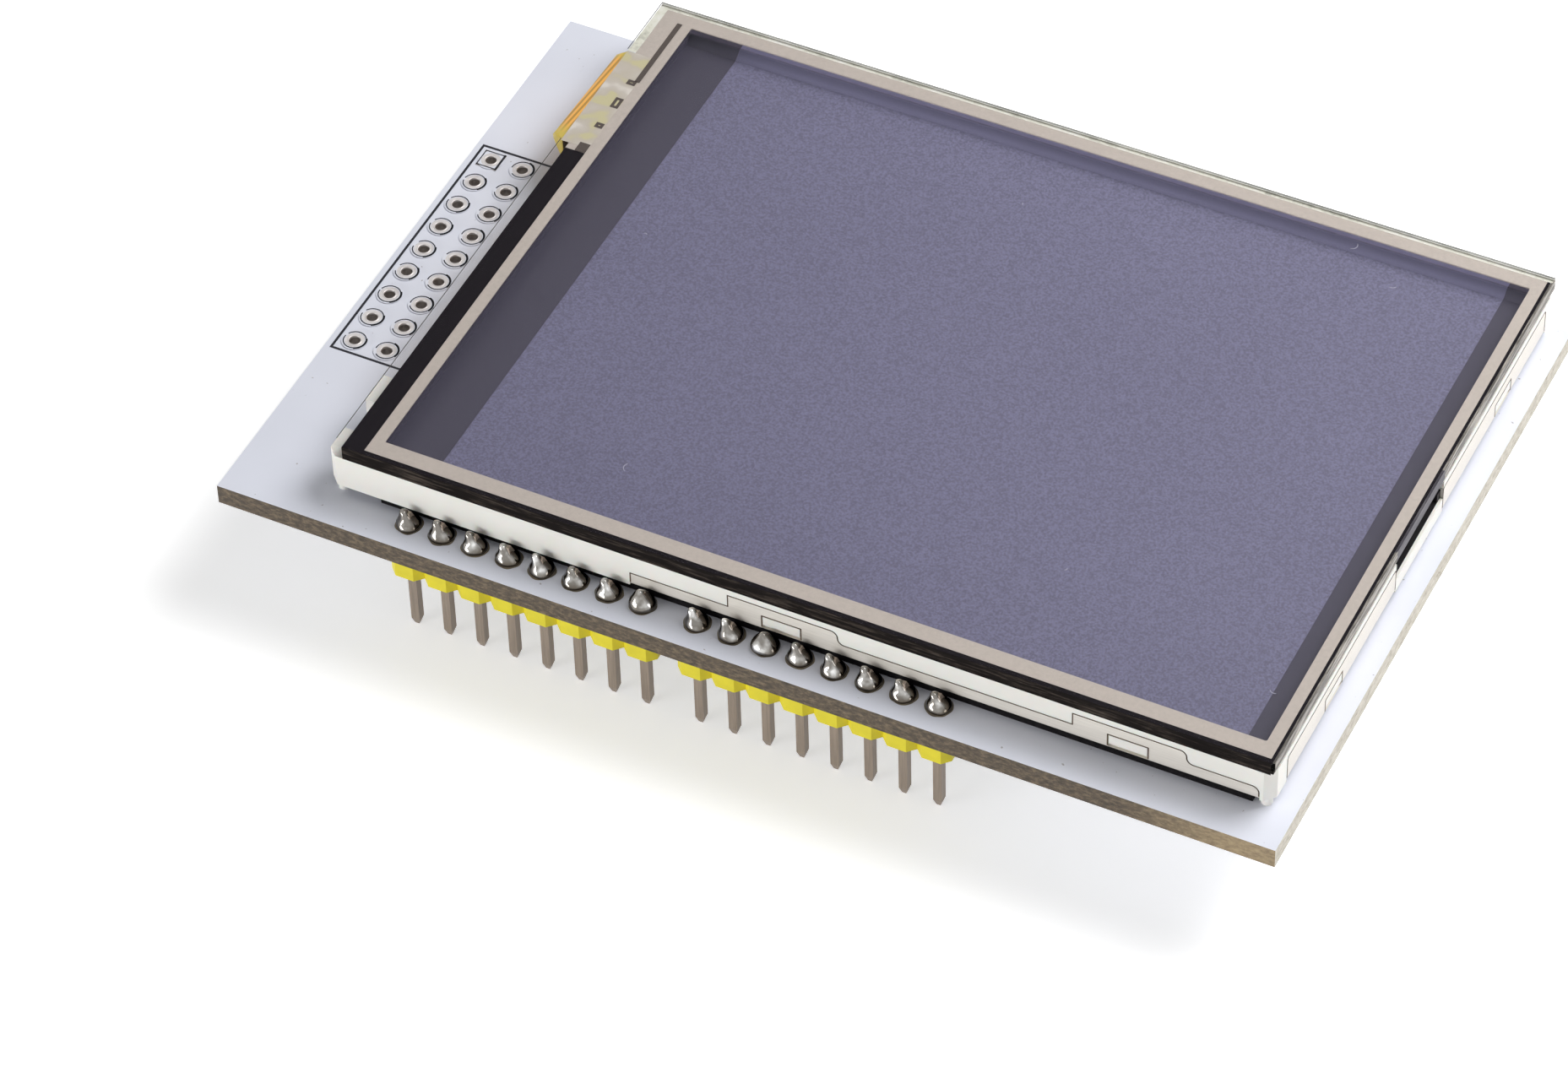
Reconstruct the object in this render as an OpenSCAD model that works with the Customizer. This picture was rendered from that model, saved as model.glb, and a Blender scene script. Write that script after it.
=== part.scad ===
// Resistive touch display module on its carrier board.
// Units are millimetres. +X runs along the long edge, +Y to the back edge, +Z up through the screen.
// The origin lies under the middle of the board, at the level of the pin tips.

/* [Carrier board] */
// Length of the board
board_l = 78.3; // [78.3:0.1:100]
// Depth of the board, front edge to back edge
board_w = 52.5; // [52.5:0.1:70]
// Thickness of the laminate
board_t = 1.6; // [0.8:0.1:2.4]

/* [Expansion holes] */
// Columns of plated holes at the left end
grid_columns = 2; // [1:1:2]
// Rows of plated holes
grid_rows = 9; // [2:1:12]
// Distance from the left edge to the outer column
grid_x = 1.75; // [1.3:0.05:2.2]
// Distance from the front edge to the first row
grid_y = 16.4; // [8:0.1:20]
// Bore of a plated hole
grid_bore = 1.0; // [0.8:0.05:1.2]
// Thickness of the plated lining of a hole
lining_t = 0.05; // [0.02:0.01:0.08]
// Diameter of the plated land round each hole
land_d = 1.65; // [1.5:0.05:1.9]
// Height of a plated land above the board
land_h = 0.05; // [0.03:0.01:0.1]

/* [Pin headers] */
// Spacing of the pins and of the plated holes
pitch = 2.54; // [2.5:0.01:2.6]
// Distance from the left edge to the first pin
header_x = 13.7; // [12:0.1:15]
// Distance from the front edge to the front row of pins
header_y = 2.3; // [1.6:0.05:2.3]
// Distance between the front row and the back row
row_spacing = 48.26; // [45:0.01:48.8]
// Pins in each front strip
front_pins = 8; // [4:1:8]
// Pins in each back strip
back_pins = 6; // [4:1:6]
// Distance between the facing pins of the two front strips
front_step = 4.064; // [3.2:0.001:6]
// Distance between the facing pins of the two back strips
back_step = 5.08; // [3.2:0.01:8]
// Height of the insulator
insulator_h = 2.54; // [1.5:0.01:3]
// Depth of the insulator
insulator_w = 2.5; // [2:0.05:2.6]
// Cut at each corner of one insulator cell
insulator_cut = 0.57; // [0.3:0.01:0.8]
// Side of a square pin
pin_side = 0.64; // [0.5:0.01:0.66]
// Length of a pin below its insulator
pin_reach = 5.5; // [3:0.1:9]
// Length of the tapered tip
tip_l = 0.55; // [0.2:0.05:1]
// Side of the blunt end of the tip
tip_side = 0.3; // [0.1:0.02:0.45]
// Bore of the header holes in the board
header_bore = 1.0; // [0.95:0.05:1.2]

/* [Solder joints] */
// Diameter of a joint at the board
joint_d = 1.9; // [1.5:0.05:2.1]
// Height of a front joint
joint_h = 1.35; // [1:0.05:2]
// Height of a trimmed back joint, under the display
trimmed_h = 0.5; // [0.3:0.05:0.55]
// Radius of a joint at its top
joint_top_r = 0.3; // [0.26:0.02:0.4]
// Radius of a trimmed back joint at its top
trimmed_top_r = 0.5; // [0.48:0.02:0.6]
// Solder above the end of the pin
joint_cap = 0.18; // [0.1:0.02:0.3]

/* [Display placing] */
// Distance from the left edge of the board to the display frame
display_x = 7.3; // [6.8:0.1:8]
// Distance from the front edge of the board to the display frame
display_y = 3.05; // [2:0.05:3.05]
// Length of the display frame
display_l = 69.5; // [66:0.1:70.4]
// Depth of the display frame
display_w = 49.45; // [46:0.05:49.45]
// Gap between the board and the back cover, filled by the foam tape
display_gap = 0.65; // [0.6:0.05:1.2]

/* [Backlight frame] */
// Height of the moulded frame
frame_h = 2.75; // [2.6:0.05:4]
// Thickness of the frame's outer wall
frame_wall = 0.95; // [0.8:0.05:1.2]
// Width of the ledge that carries the glass
ledge_w = 1.1; // [0.8:0.05:1.6]
// Height of the ledge above the underside of the frame
ledge_h = 1.4; // [1.35:0.05:1.8]
// Chamfer on the frame's upright corners
corner_cut = 0.7; // [0.2:0.05:0.75]
// Distance that the left side is set back between its two ends
left_set_back = 1.45; // [1.2:0.05:1.6]
// Thickness of the low wall on the left side
left_wall = 0.6; // [0.4:0.05:0.8]
// Length of the lug at the front end of the left side
corner_lug_l = 2.7; // [1.2:0.05:3.5]
// Distance from the front of the frame to the second lug
lug_start = 5.65; // [5:0.05:7]
// Length of the second lug
lug_l = 2.6; // [1:0.05:3.5]
// Distance that both lugs stand out past the back end of the left side
lug_out = 0.2; // [0:0.05:0.4]
// Diameter of a locating peg
peg_d = 0.8; // [0.4:0.05:0.8]
// Distance from a peg's middle to the two outer faces of its corner
peg_inset = 0.65; // [0.65:0.05:0.7]
// Length of the notch in the right wall
notch_l = 8.4; // [5:0.1:12]
// Distance from the front of the frame to the middle of the notch
notch_y = 24.95; // [20:0.05:28]
// Height of the wall that is left in the notch
notch_floor = 1.2; // [1:0.05:1.3]

/* [Back cover] */
// Thickness of the sheet
sheet_t = 0.2; // [0.15:0.01:0.3]
// Inside radius of a bend
bend_r = 0.12; // [0.05:0.01:0.2]
// Clearance between the sheet and the frame round the flanges
sheet_gap = 0.05; // [0.03:0.01:0.1]
// Height of the low part of a long flange
low_h = 1.15; // [0.9:0.05:1.3]
// Height of the tabs and of the side flanges
tab_h = 2.2; // [2:0.05:2.3]
// Length of a tab, without its curved end
tab_l = 7.6; // [6:0.1:9]
// Radius of the curves at a tab's end
tab_r = 0.5; // [0.3:0.05:0.5]
// Radius at the far end of a flange
flange_end_r = 0.5; // [0.3:0.05:0.6]
// Distance from the left of the frame to the start of the long flanges
flange_x = 22.9; // [18:0.1:26]
// Distance from the long flanges' end to the right of the frame
flange_stop = 1.0; // [1:0.1:2]
// Distance from the start of a long flange to its first tab
tab_start = 7.3; // [4:0.1:8]
// Distance from the first tab to the second
tab_step = 25.1; // [20:0.1:26]
// Distance from the front of the frame to the side flanges
side_start = 2.3; // [2:0.1:4]
// Distance from the side flanges' end to the back of the frame
side_stop = 1.5; // [1.5:0.1:4]
// Length of a latch window
window_l = 2.9; // [2:0.1:3.4]
// Height of a latch window's top edge
window_h = 1.35; // [1.2:0.05:1.5]
// Distance from a tab's start to its window
window_start = 2.5; // [1:0.1:3]
// Distance from the middle of the side flanges to the middle of each side window
side_window = 15.0; // [10:0.1:17]
// Height of the low edge of a latch
latch_base = 0.35; // [0.35:0.05:0.6]
// Clearance round a latch in its window
latch_gap = 0.08; // [0.05:0.01:0.15]

/* [Backlight] */
// Thickness of the reflector film
reflector_t = 0.08; // [0.05:0.01:0.1]
// Thickness of the light guide
guide_t = 0.7; // [0.5:0.05:0.75]
// Thickness of the diffuser film and of the prism film
film_t = 0.12; // [0.05:0.01:0.12]
// Clearance round the light guide and its films
guide_gap = 0.1; // [0.05:0.01:0.2]
// Number of light-emitting diodes
led_count = 6; // [2:1:8]
// Length of one diode
led_l = 3.8; // [2:0.1:4]
// Height of one diode
led_h = 0.6; // [0.4:0.05:0.6]
// Depth of one diode
led_w = 0.75; // [0.5:0.05:0.8]
// Thickness of the strip that carries the diodes
led_strip_t = 0.1; // [0.05:0.01:0.15]
// Distance between the diodes and the light guide
led_gap = 0.1; // [0.05:0.01:0.2]

/* [Liquid crystal cell] */
// Thickness of each pane
pane_t = 0.5; // [0.3:0.05:0.5]
// Thickness of each polarizer
polarizer_t = 0.15; // [0.1:0.01:0.18]
// Clearance between the panes and the frame
pane_gap = 0.1; // [0.05:0.01:0.2]
// Width of the bare ledge of the rear pane at the left
contact_ledge = 3.5; // [3:0.1:4]
// Distance that a polarizer stands back from the edges of the front pane
polarizer_inset = 0.3; // [0.1:0.05:0.5]
// Length of the driver chip
driver_l = 20.0; // [10:0.5:24]
// Width of the driver chip
driver_w = 1.2; // [0.8:0.1:1.4]
// Height of the driver chip
driver_h = 0.45; // [0.3:0.05:0.48]
// Thickness of the black tape over the contact ledge
shield_t = 0.1; // [0.05:0.01:0.14]

/* [Display flex] */
// Width of the display's flexible lead
lead_w = 22.0; // [15:0.5:26]
// Thickness of the lead
lead_t = 0.12; // [0.08:0.01:0.15]
// Distance from the front of the frame to the middle of the lead
lead_y = 20.0; // [16:0.5:20]
// Width of the bond on the contact ledge
lead_bond = 1.0; // [0.8:0.1:1.2]
// Length of the lead on the board, past its bend
lead_run = 12.0; // [6:0.5:16]

/* [Touch panel] */
// Distance from the left of the frame to the touch panel
panel_inset = 0.45; // [0.3:0.05:0.8]
// Thickness of the black gasket
gasket_t = 0.3; // [0.2:0.05:0.6]
// Thickness of the touch glass
glass_t = 0.7; // [0.4:0.05:1.1]
// Thickness of the adhesive and of the printed border
print_t = 0.1; // [0.05:0.01:0.15]
// Thickness of the top film
top_film_t = 0.2; // [0.12:0.01:0.25]
// Clear margin along the left of the panel
clear_left = 0.65; // [0.3:0.05:0.8]
// Clear margin along the back of the panel
clear_back = 0.4; // [0.2:0.05:0.8]
// Clear margin along the right of the panel
clear_right = 0.2; // [0.1:0.05:0.4]
// Width of the black strip on the left
black_left = 1.55; // [1:0.05:2]
// Width of the black strip on the front
black_front = 0.4; // [0.2:0.05:0.6]
// Width of the black line on the right
black_right = 0.2; // [0.1:0.02:0.4]
// Width of the pale border on the left
pale_left = 0.88; // [0.5:0.01:1.2]
// Width of the pale border on the front
pale_front = 1.28; // [1:0.01:1.6]
// Width of the pale border on the right
pale_right = 0.86; // [0.6:0.01:1.6]
// Width of the pale border on the back
pale_back = 1.1; // [0.8:0.01:1.6]
// Radius at the corners of the pale border's window
window_r = 0.15; // [0.1:0.05:0.6]
// Distance that the gasket stands back from the panel's edge
gasket_inset = 0.1; // [0.05:0.05:0.3]
// Distance between the gasket's inner edge and the window
gasket_back = 0.2; // [0.1:0.05:0.4]
// Distance from the front of the panel to the end of the black strip
black_end = 32.9; // [28:0.1:33]

/* [Touch flex] */
// Width of the touch panel's flexible tail
tail_w = 10.2; // [6:0.1:12]
// Thickness of the tail, no more than that of the adhesive
tail_t = 0.1; // [0.05:0.01:0.1]
// Distance from the front of the panel to the near edge of the tail
tail_y = 33.6; // [33.1:0.1:36]
// Depth of the bond under the top film
tail_bond = 1.3; // [1:0.1:1.6]
// Distance that the tail bows out past the panel
tail_bow = 1.0; // [1:0.05:1.5]
// Radius of the tail's two bends
tail_r = 0.95; // [0.6:0.05:0.95]
// Length of the tail on the board, past its bend
tail_run = 4.5; // [2:0.5:5]

/* [Foam tape] */
// Depth of a strip of tape
tape_w = 3.0; // [2:0.1:4]
// Distance that the front strip stands back from the frame
tape_set_back = 0.25; // [0.25:0.05:1.2]
// Distance from the left of the frame to the front strip
tape_x = 3.7; // [2:0.1:6]
// Distance from the left of the frame to the back strip
back_tape_x = 6.7; // [6.7:0.1:10]
// Distance from the strips' end to the right of the frame
tape_stop = 1.5; // [1.5:0.1:4]
// Distance from the back strip to the back of the frame
back_tape_y = 5.0; // [4.6:0.1:6]

/* [Card socket] */
// Length of the socket, inward from its mouth
socket_l = 14.7; // [12:0.1:16]
// Width of the socket
socket_w = 14.5; // [12:0.1:16]
// Height of the socket below the board
socket_h = 1.6; // [1.3:0.05:2]
// Distance from the front edge of the board to the middle of the socket
socket_y = 31.1; // [20:0.1:32]
// Distance from the mouth to the right edge of the board
socket_set_back = 0.6; // [0:0.1:2]
// Thickness of the socket's shell
shell_t = 0.15; // [0.1:0.01:0.2]
// Thickness of the socket's plastic floor
base_t = 0.35; // [0.2:0.05:0.4]
// Length of the block that holds the contacts
block_l = 3.2; // [2:0.1:4]
// Width of a side rail
rail_w = 1.2; // [0.8:0.1:1.5]
// Spacing of the contacts
contact_pitch = 1.1; // [1:0.05:1.2]
// Width of a contact
contact_w = 0.6; // [0.4:0.05:0.8]
// Number of contacts
contact_count = 8; // [4:1:8]

/* [Logic chips] */
// Length of a chip
chip_l = 6.5; // [5:0.1:7]
// Width of a chip
chip_w = 4.4; // [4:0.1:5]
// Height of a chip
chip_h = 1.0; // [0.8:0.05:1.2]
// Gap between a chip and the board
chip_lift = 0.1; // [0.05:0.01:0.15]
// Spacing of the leads
chip_pitch = 0.65; // [0.6:0.01:0.7]
// Leads along one side
chip_leads = 10; // [4:1:10]
// Width of a lead
chip_lead_w = 0.22; // [0.15:0.01:0.3]
// Thickness of a lead
chip_lead_t = 0.15; // [0.1:0.01:0.2]
// Distance that a lead reaches out from the chip
chip_lead_out = 1.0; // [0.8:0.05:1.2]
// Length of a lead's foot
chip_foot = 0.5; // [0.4:0.05:0.6]
// Distance from the left edge of the board to the first chip
chip_x = 19.0; // [16:0.5:22]
// Distance between the two chips
chip_step = 13.0; // [10:0.5:16]
// Distance from the front edge of the board to the middle of the chips
chip_y = 17.0; // [12:0.5:22]

/* [Regulator] */
// Length of the regulator's body
reg_l = 6.5; // [6:0.1:7]
// Width of the regulator's body
reg_w = 3.5; // [3:0.1:4]
// Height of the regulator's body
reg_h = 1.6; // [1.4:0.05:1.8]
// Thickness of its leads and tab
reg_lead_t = 0.25; // [0.2:0.01:0.3]
// Distance that its leads and tab reach out
reg_out = 1.75; // [1.5:0.05:2]
// Width of a regulator lead
reg_lead_w = 0.7; // [0.5:0.05:0.9]
// Spacing of its leads
reg_pitch = 2.3; // [2:0.05:2.4]
// Width of the tab
reg_tab_w = 3.0; // [2.6:0.1:3.4]
// Distance from the left edge of the board to the regulator
reg_x = 46.0; // [44:0.5:48]
// Distance from the front edge of the board to the middle of the regulator
reg_y = 37.0; // [30:0.5:40]

/* [Small chips] */
// Length of a small chip
small_l = 1.6; // [1.4:0.05:2]
// Width of a small chip
small_w = 0.8; // [0.6:0.05:1.25]
// Height of a chip resistor
resistor_h = 0.45; // [0.3:0.05:0.6]
// Height of a chip capacitor
capacitor_h = 0.8; // [0.6:0.05:1]
// Length of a metal end
small_end = 0.3; // [0.2:0.05:0.4]
// Number of resistors in the row beside the logic chips
resistor_count = 8; // [4:1:8]
// Number of capacitors in the row beside the regulator
capacitor_count = 4; // [2:1:4]
// Spacing of the small chips
small_step = 2.2; // [1.8:0.1:3]
// Distance from the left edge of the board to the resistors
resistor_x = 20.0; // [16:0.5:24]
// Distance from the front edge of the board to the resistors
resistor_y = 28.0; // [26:0.5:32]
// Distance from the left edge of the board to the capacitors
capacitor_x = 34.0; // [30:0.5:35]
// Distance from the front edge of the board to the capacitors
capacitor_y = 37.0; // [34:0.5:40]

/* [Hidden] */

// Segments on round shapes, and a small overlap that makes cuts pass right through
$fn = 48;
cut = 0.5;

// Heights above the top of the board, from the pin tips up to the touch film
board_top = pin_reach + insulator_h + board_t;
frame_top = display_gap + frame_h;
floor_z = display_gap + sheet_t;
ledge_z = display_gap + ledge_h;
guide_z = floor_z + reflector_t;
diffuser_z = guide_z + guide_t;
prism_z = diffuser_z + film_t;
rear_pane_z = ledge_z;
front_pane_z = rear_pane_z + pane_t;
front_film_z = front_pane_z + pane_t;
glass_z = frame_top + gasket_t;
print_z = glass_z + glass_t;
film_z = print_z + print_t;

// Outlines of the display, measured from the front left corner of the board
display_right = display_x + display_l;
display_back = display_y + display_w;
left_face = display_x + left_set_back;
lug_x = display_x - lug_out;
lug_y = display_y + lug_start;
corner_lug_back = display_y + corner_lug_l;
left_inside = left_face + left_wall;
pocket_front = display_y + frame_wall;
pocket_back = display_back - frame_wall;
pocket_right = display_right - frame_wall;
guide_front = pocket_front + ledge_w;
guide_back = pocket_back - ledge_w;
guide_right = pocket_right - ledge_w;
bend_out = bend_r + sheet_t;
recess = sheet_t + sheet_gap;

// Long and side flanges
flange_l = display_l - flange_x - flange_stop;
tab_places = [tab_start, tab_start + tab_step];
side_front = display_y + side_start;
side_back = display_back - side_stop;
notch_front = display_y + notch_y - notch_l / 2;
notch_back = notch_front + notch_l;
side_middle = (side_front + side_back) / 2;
side_windows = [side_middle - side_window, side_middle + side_window];

// Backlight
led_x = left_inside + led_gap;
guide_x = led_x + led_w + led_gap;
led_span = guide_back - guide_front - 2 * guide_gap;
led_step = led_span / led_count;

// Liquid crystal cell
pane_x = left_inside + pane_gap;
pane_right = pocket_right - pane_gap;
pane_front = pocket_front + pane_gap;
pane_back = pocket_back - pane_gap;
front_pane_x = pane_x + contact_ledge;
polarizer_x = front_pane_x + polarizer_inset;
driver_x = pane_x + lead_bond + (contact_ledge - lead_bond - driver_w) / 2;

// Touch panel
panel_x = display_x + panel_inset;
panel_front = display_y;
black_x = panel_x + clear_left;
pale_x = black_x + black_left;
view_x = pale_x + pale_left;
pale_y = panel_front + black_front;
view_front = pale_y + pale_front;
black_right_end = display_right - clear_right;
black_right_x = black_right_end - black_right;
view_right = black_right_x - pale_right;
pale_back_y = display_back - clear_back;
view_back = pale_back_y - pale_back;
tail_front = panel_front + tail_y;
tail_back = tail_front + tail_w;
strip_end = panel_front + black_end;

// Header rows
front_strip_l = (front_pins - 1) * pitch;
back_strip_l = (back_pins - 1) * pitch;
front_right_x = header_x + front_strip_l + front_step;
back_right_x = header_x + back_strip_l + back_step;
back_row_y = header_y + row_spacing;
header_rows = [[header_x, header_y, front_pins], [front_right_x, header_y, front_pins],
    [header_x, back_row_y, back_pins], [back_right_x, back_row_y, back_pins]];

// Card socket
socket_right = board_l - socket_set_back;
socket_x = socket_right - socket_l;
socket_front = socket_y - socket_w / 2;

// Moves a piece from board coordinates, where z = 0 is the top face, to the part's own frame
module on_board() {
    translate([-board_l / 2, -board_w / 2, board_top])
        children();
}

// Moves a piece to the underside of the board, with its own +Z pointing down from there
module under_board() {
    on_board()
        translate([0, 0, -board_t])
            mirror([0, 0, 1])
                children();
}

// Plain block between two corners
module block(low, high) {
    translate(low)
        cube(high - low);
}

// Flat ring of an outer rectangle and an inner one, with round inner corners
module flat_ring(outer_low, outer_high, inner_low, inner_high, inner_r) {
    difference() {
        translate(outer_low)
            square(outer_high - outer_low);
        round_rectangle(inner_low, inner_high, inner_r);
    }
}

// Rectangle with round corners and true arcs
module round_rectangle(low, high, r) {
    translate([low[0] + r, low[1]])
        square([high[0] - low[0] - 2 * r, high[1] - low[1]]);
    translate([low[0], low[1] + r])
        square([high[0] - low[0], high[1] - low[1] - 2 * r]);
    for (x = [low[0] + r, high[0] - r], y = [low[1] + r, high[1] - r])
        translate([x, y])
            circle(r);
}

// ---------------------------------------------------------------- carrier board

// Places of the plated holes, by column and row
module at_grid() {
    for (column = [0 : grid_columns - 1], row = [0 : grid_rows - 1])
        translate([grid_x + column * pitch, grid_y + row * pitch, 0])
            children();
}

// Places of the pins in one strip
module at_pins(strip) {
    for (i = [0 : strip[2] - 1])
        translate([strip[0] + i * pitch, strip[1], 0])
            children();
}

module circuit_board() {
    color("aliceblue")
        on_board()
            difference() {
                block([0, 0, -board_t], [board_l, board_w, 0]);
                at_grid()
                    bore(grid_bore + 2 * lining_t);
                for (strip = header_rows)
                    at_pins(strip)
                        bore(header_bore);
            }
}

// Hole right through the board
module bore(d) {
    translate([0, 0, -board_t - cut])
        cylinder(d = d, h = board_t + 2 * cut);
}

// Plated linings with a land at each face; the last land of the outer column is square
module expansion_eyelets() {
    color("silver")
        on_board()
            for (column = [0 : grid_columns - 1], row = [0 : grid_rows - 1])
                translate([grid_x + column * pitch, grid_y + row * pitch, 0])
                    eyelet(column == 0 && row == grid_rows - 1);
}

module eyelet(is_square) {
    difference() {
        union() {
            translate([0, 0, -board_t])
                cylinder(d = grid_bore + 2 * lining_t, h = board_t);
            for (z = [0, -board_t - land_h])
                translate([0, 0, z])
                    land(is_square);
        }
        bore(grid_bore);
    }
}

module land(is_square) {
    if (is_square)
        translate([-land_d / 2, -land_d / 2, 0])
            cube([land_d, land_d, land_h]);
    else
        cylinder(d = land_d, h = land_h);
}

// ---------------------------------------------------------------- pin headers

// Insulator strip: one cell with cut corners per pin, and a square hole for the pin in each
module insulator(strip) {
    color("gold")
        on_board()
            translate([0, 0, -board_t - insulator_h])
                linear_extrude(insulator_h)
                    difference() {
                        for (i = [0 : strip[2] - 1])
                            translate([strip[0] + i * pitch, strip[1]])
                                insulator_cell();
                        for (i = [0 : strip[2] - 1])
                            translate([strip[0] + i * pitch, strip[1]])
                                square(pin_side, center = true);
                    }
}

module insulator_cell() {
    x = pitch / 2;
    y = insulator_w / 2;
    c = insulator_cut;
    polygon([[-x, -y + c], [-x + c, -y], [x - c, -y], [x, -y + c],
        [x, y - c], [x - c, y], [-x + c, y], [-x, y - c]]);
}

// Square pins with a blunt taper at the lower end; the upper end lies inside the solder,
// tapered in the front strips and cut off square in the back ones
module pin_row(strip, above, upper_side) {
    color("dimgray")
        on_board()
            at_pins(strip)
                pin(above, upper_side);
}

module pin(above, upper_side) {
    for_both_sides()
        pin_side_view(above, upper_side);
}

// Square solid with the same outline from the front and from the side
module for_both_sides() {
    intersection() {
        rotate([90, 0, 0])
            linear_extrude(pin_side + cut, center = true)
                children();
        rotate([90, 0, 90])
            linear_extrude(pin_side + cut, center = true)
                children();
    }
}

module pin_side_view(above, upper_side) {
    a = pin_side / 2;
    b = tip_side / 2;
    c = upper_side / 2;
    upper = above - (upper_side < pin_side ? tip_l : 0);
    polygon([[-b, -board_top], [b, -board_top], [a, -board_top + tip_l], [a, upper], [c, above],
        [-c, above], [-a, upper], [-a, -board_top + tip_l]]);
}

// Solder: it fills the bore round the pin and rises as a cone with hollow flanks
module solder_row(strip, height, top_r, upper_side) {
    color("lightgray")
        on_board()
            difference() {
                at_pins(strip) {
                    rotate_extrude()
                        joint_profile(height, top_r);
                    translate([0, 0, -board_t])
                        cylinder(d = header_bore, h = board_t + cut / 2);
                }
                at_pins(strip)
                    pin(height - joint_cap, upper_side);
            }
}

// Half section of a joint: a hollow flank from the board up to a rounded cap
module joint_profile(height, top_r) {
    steps = 6;
    cap_steps = 3;
    foot_r = joint_d / 2;
    neck = height - joint_cap;
    flank = [for (i = [0 : steps]) [top_r + (foot_r - top_r) * pow(1 - i / steps, 2), neck * i / steps]];
    rise = 90 / cap_steps;
    cap = [for (i = [1 : cap_steps]) [top_r * cos(rise * i), neck + joint_cap * sin(rise * i)]];
    polygon(concat([[0, 0]], flank, cap));
}

module front_header_left() {
    insulator(header_rows[0]);
}

module front_header_right() {
    insulator(header_rows[1]);
}

module back_header_left() {
    insulator(header_rows[2]);
}

module back_header_right() {
    insulator(header_rows[3]);
}

module front_pins_left() {
    pin_row(header_rows[0], joint_h - joint_cap, tip_side);
}

module front_pins_right() {
    pin_row(header_rows[1], joint_h - joint_cap, tip_side);
}

module back_pins_left() {
    pin_row(header_rows[2], trimmed_h - joint_cap, pin_side);
}

module back_pins_right() {
    pin_row(header_rows[3], trimmed_h - joint_cap, pin_side);
}

module front_solder_left() {
    solder_row(header_rows[0], joint_h, joint_top_r, tip_side);
}

module front_solder_right() {
    solder_row(header_rows[1], joint_h, joint_top_r, tip_side);
}

module back_solder_left() {
    solder_row(header_rows[2], trimmed_h, trimmed_top_r, pin_side);
}

module back_solder_right() {
    solder_row(header_rows[3], trimmed_h, trimmed_top_r, pin_side);
}

// ---------------------------------------------------------------- foam tape

module mounting_tape_front() {
    front = display_y + tape_set_back;
    color("black")
        on_board()
            block([display_x + tape_x, front, 0],
                [display_right - tape_stop, front + tape_w, display_gap]);
}

module mounting_tape_back() {
    back = display_back - back_tape_y;
    color("black")
        on_board()
            block([display_x + back_tape_x, back - tape_w, 0],
                [display_right - tape_stop, back, display_gap]);
}

// ---------------------------------------------------------------- back cover

// Outline of a long flange, standing on the cover's underside; extra grows it on every side
module long_flange_outline(extra) {
    end = flange_l + extra;
    top = low_h + extra;
    r = flange_end_r + extra;
    difference() {
        union() {
            translate([-extra, 0])
                square([end - r + extra, top]);
            translate([end - r - cut, 0])
                square([r + cut, top - r]);
            translate([end - r, top - r])
                circle(r);
            for (x = tab_places)
                translate([x, 0])
                    tab_outline(extra);
        }
        translate([-cut, -2 * cut])
            square([flange_l + 2 * cut, 2 * cut]);
    }
}

// Raised tab: a square start, and an end that curves over and runs out along the low part
module tab_outline(extra) {
    over = tab_r + extra;
    under = tab_r - extra;
    translate([-extra, 0])
        square([tab_l + extra, tab_h + extra]);
    translate([tab_l - cut, 0])
        square([over + cut, tab_h - tab_r]);
    translate([tab_l, tab_h - tab_r])
        circle(over);
    translate([tab_l + over, low_h + extra])
        difference() {
            square(under);
            translate([under, under])
                circle(under);
        }
}

// Outline of a side flange: full height with clipped upper corners
module side_flange_outline(length, extra) {
    translate([-extra, 0])
        difference() {
            square([length + 2 * extra, tab_h + extra]);
            for (x = [0, length + 2 * extra])
                translate([x, tab_h + extra])
                    rotate(45)
                        square(flange_end_r / 2, center = true);
        }
}

// Quarter bend between the floor and a flange, seen in section
module bend_section() {
    intersection() {
        difference() {
            circle(bend_out);
            circle(bend_r);
        }
        translate([-bend_out, -bend_out])
            square(bend_out);
    }
}

// A flange that stands on the front edge of the floor: bend, then the upright sheet
module flange_sheet(length) {
    translate([0, bend_out, bend_out])
        rotate([90, 0, 90])
            linear_extrude(length)
                bend_section();
    intersection() {
        translate([0, sheet_t, 0])
            rotate([90, 0, 0])
                linear_extrude(sheet_t)
                    children();
        block([-cut, -cut, bend_out], [length + cut, sheet_t + cut, frame_h]);
    }
}

// Places on the front and back sides: x along the side, y inwards
module on_long_sides() {
    translate([display_x + flange_x, display_y, display_gap])
        children();
    translate([display_x + flange_x, display_back, display_gap])
        mirror([0, 1, 0])
            children();
}

// Places on the right side: x along the side towards the back, y inwards
module on_right_side(start) {
    translate([display_right, start, display_gap])
        rotate(90)
            children();
}

// Latch windows of the long flanges and side flanges, as boxes that pass through the sheet
module long_windows() {
    for (x = tab_places)
        translate([x + window_start, -cut, 0])
            window_box();
}

module side_windows_at(start) {
    for (y = side_windows)
        translate([y - start - window_l / 2, -cut, 0])
            window_box();
}

module window_box() {
    translate([0, 0, sheet_t])
        cube([window_l, bend_out + 2 * cut, window_h - sheet_t]);
}

module back_cover() {
    color("rosybrown")
        on_board()
            difference() {
                union() {
                    cover_floor(0, sheet_t);
                    on_long_sides()
                        flange_sheet(flange_l)
                            long_flange_outline(0);
                    on_right_side(side_front)
                        flange_sheet(notch_front - side_front)
                            side_flange_outline(notch_front - side_front, 0);
                    on_right_side(notch_back)
                        flange_sheet(side_back - notch_back)
                            side_flange_outline(side_back - notch_back, 0);
                }
                on_long_sides()
                    long_windows();
                on_right_side(side_front)
                    side_windows_at(side_front);
            }
}

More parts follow.
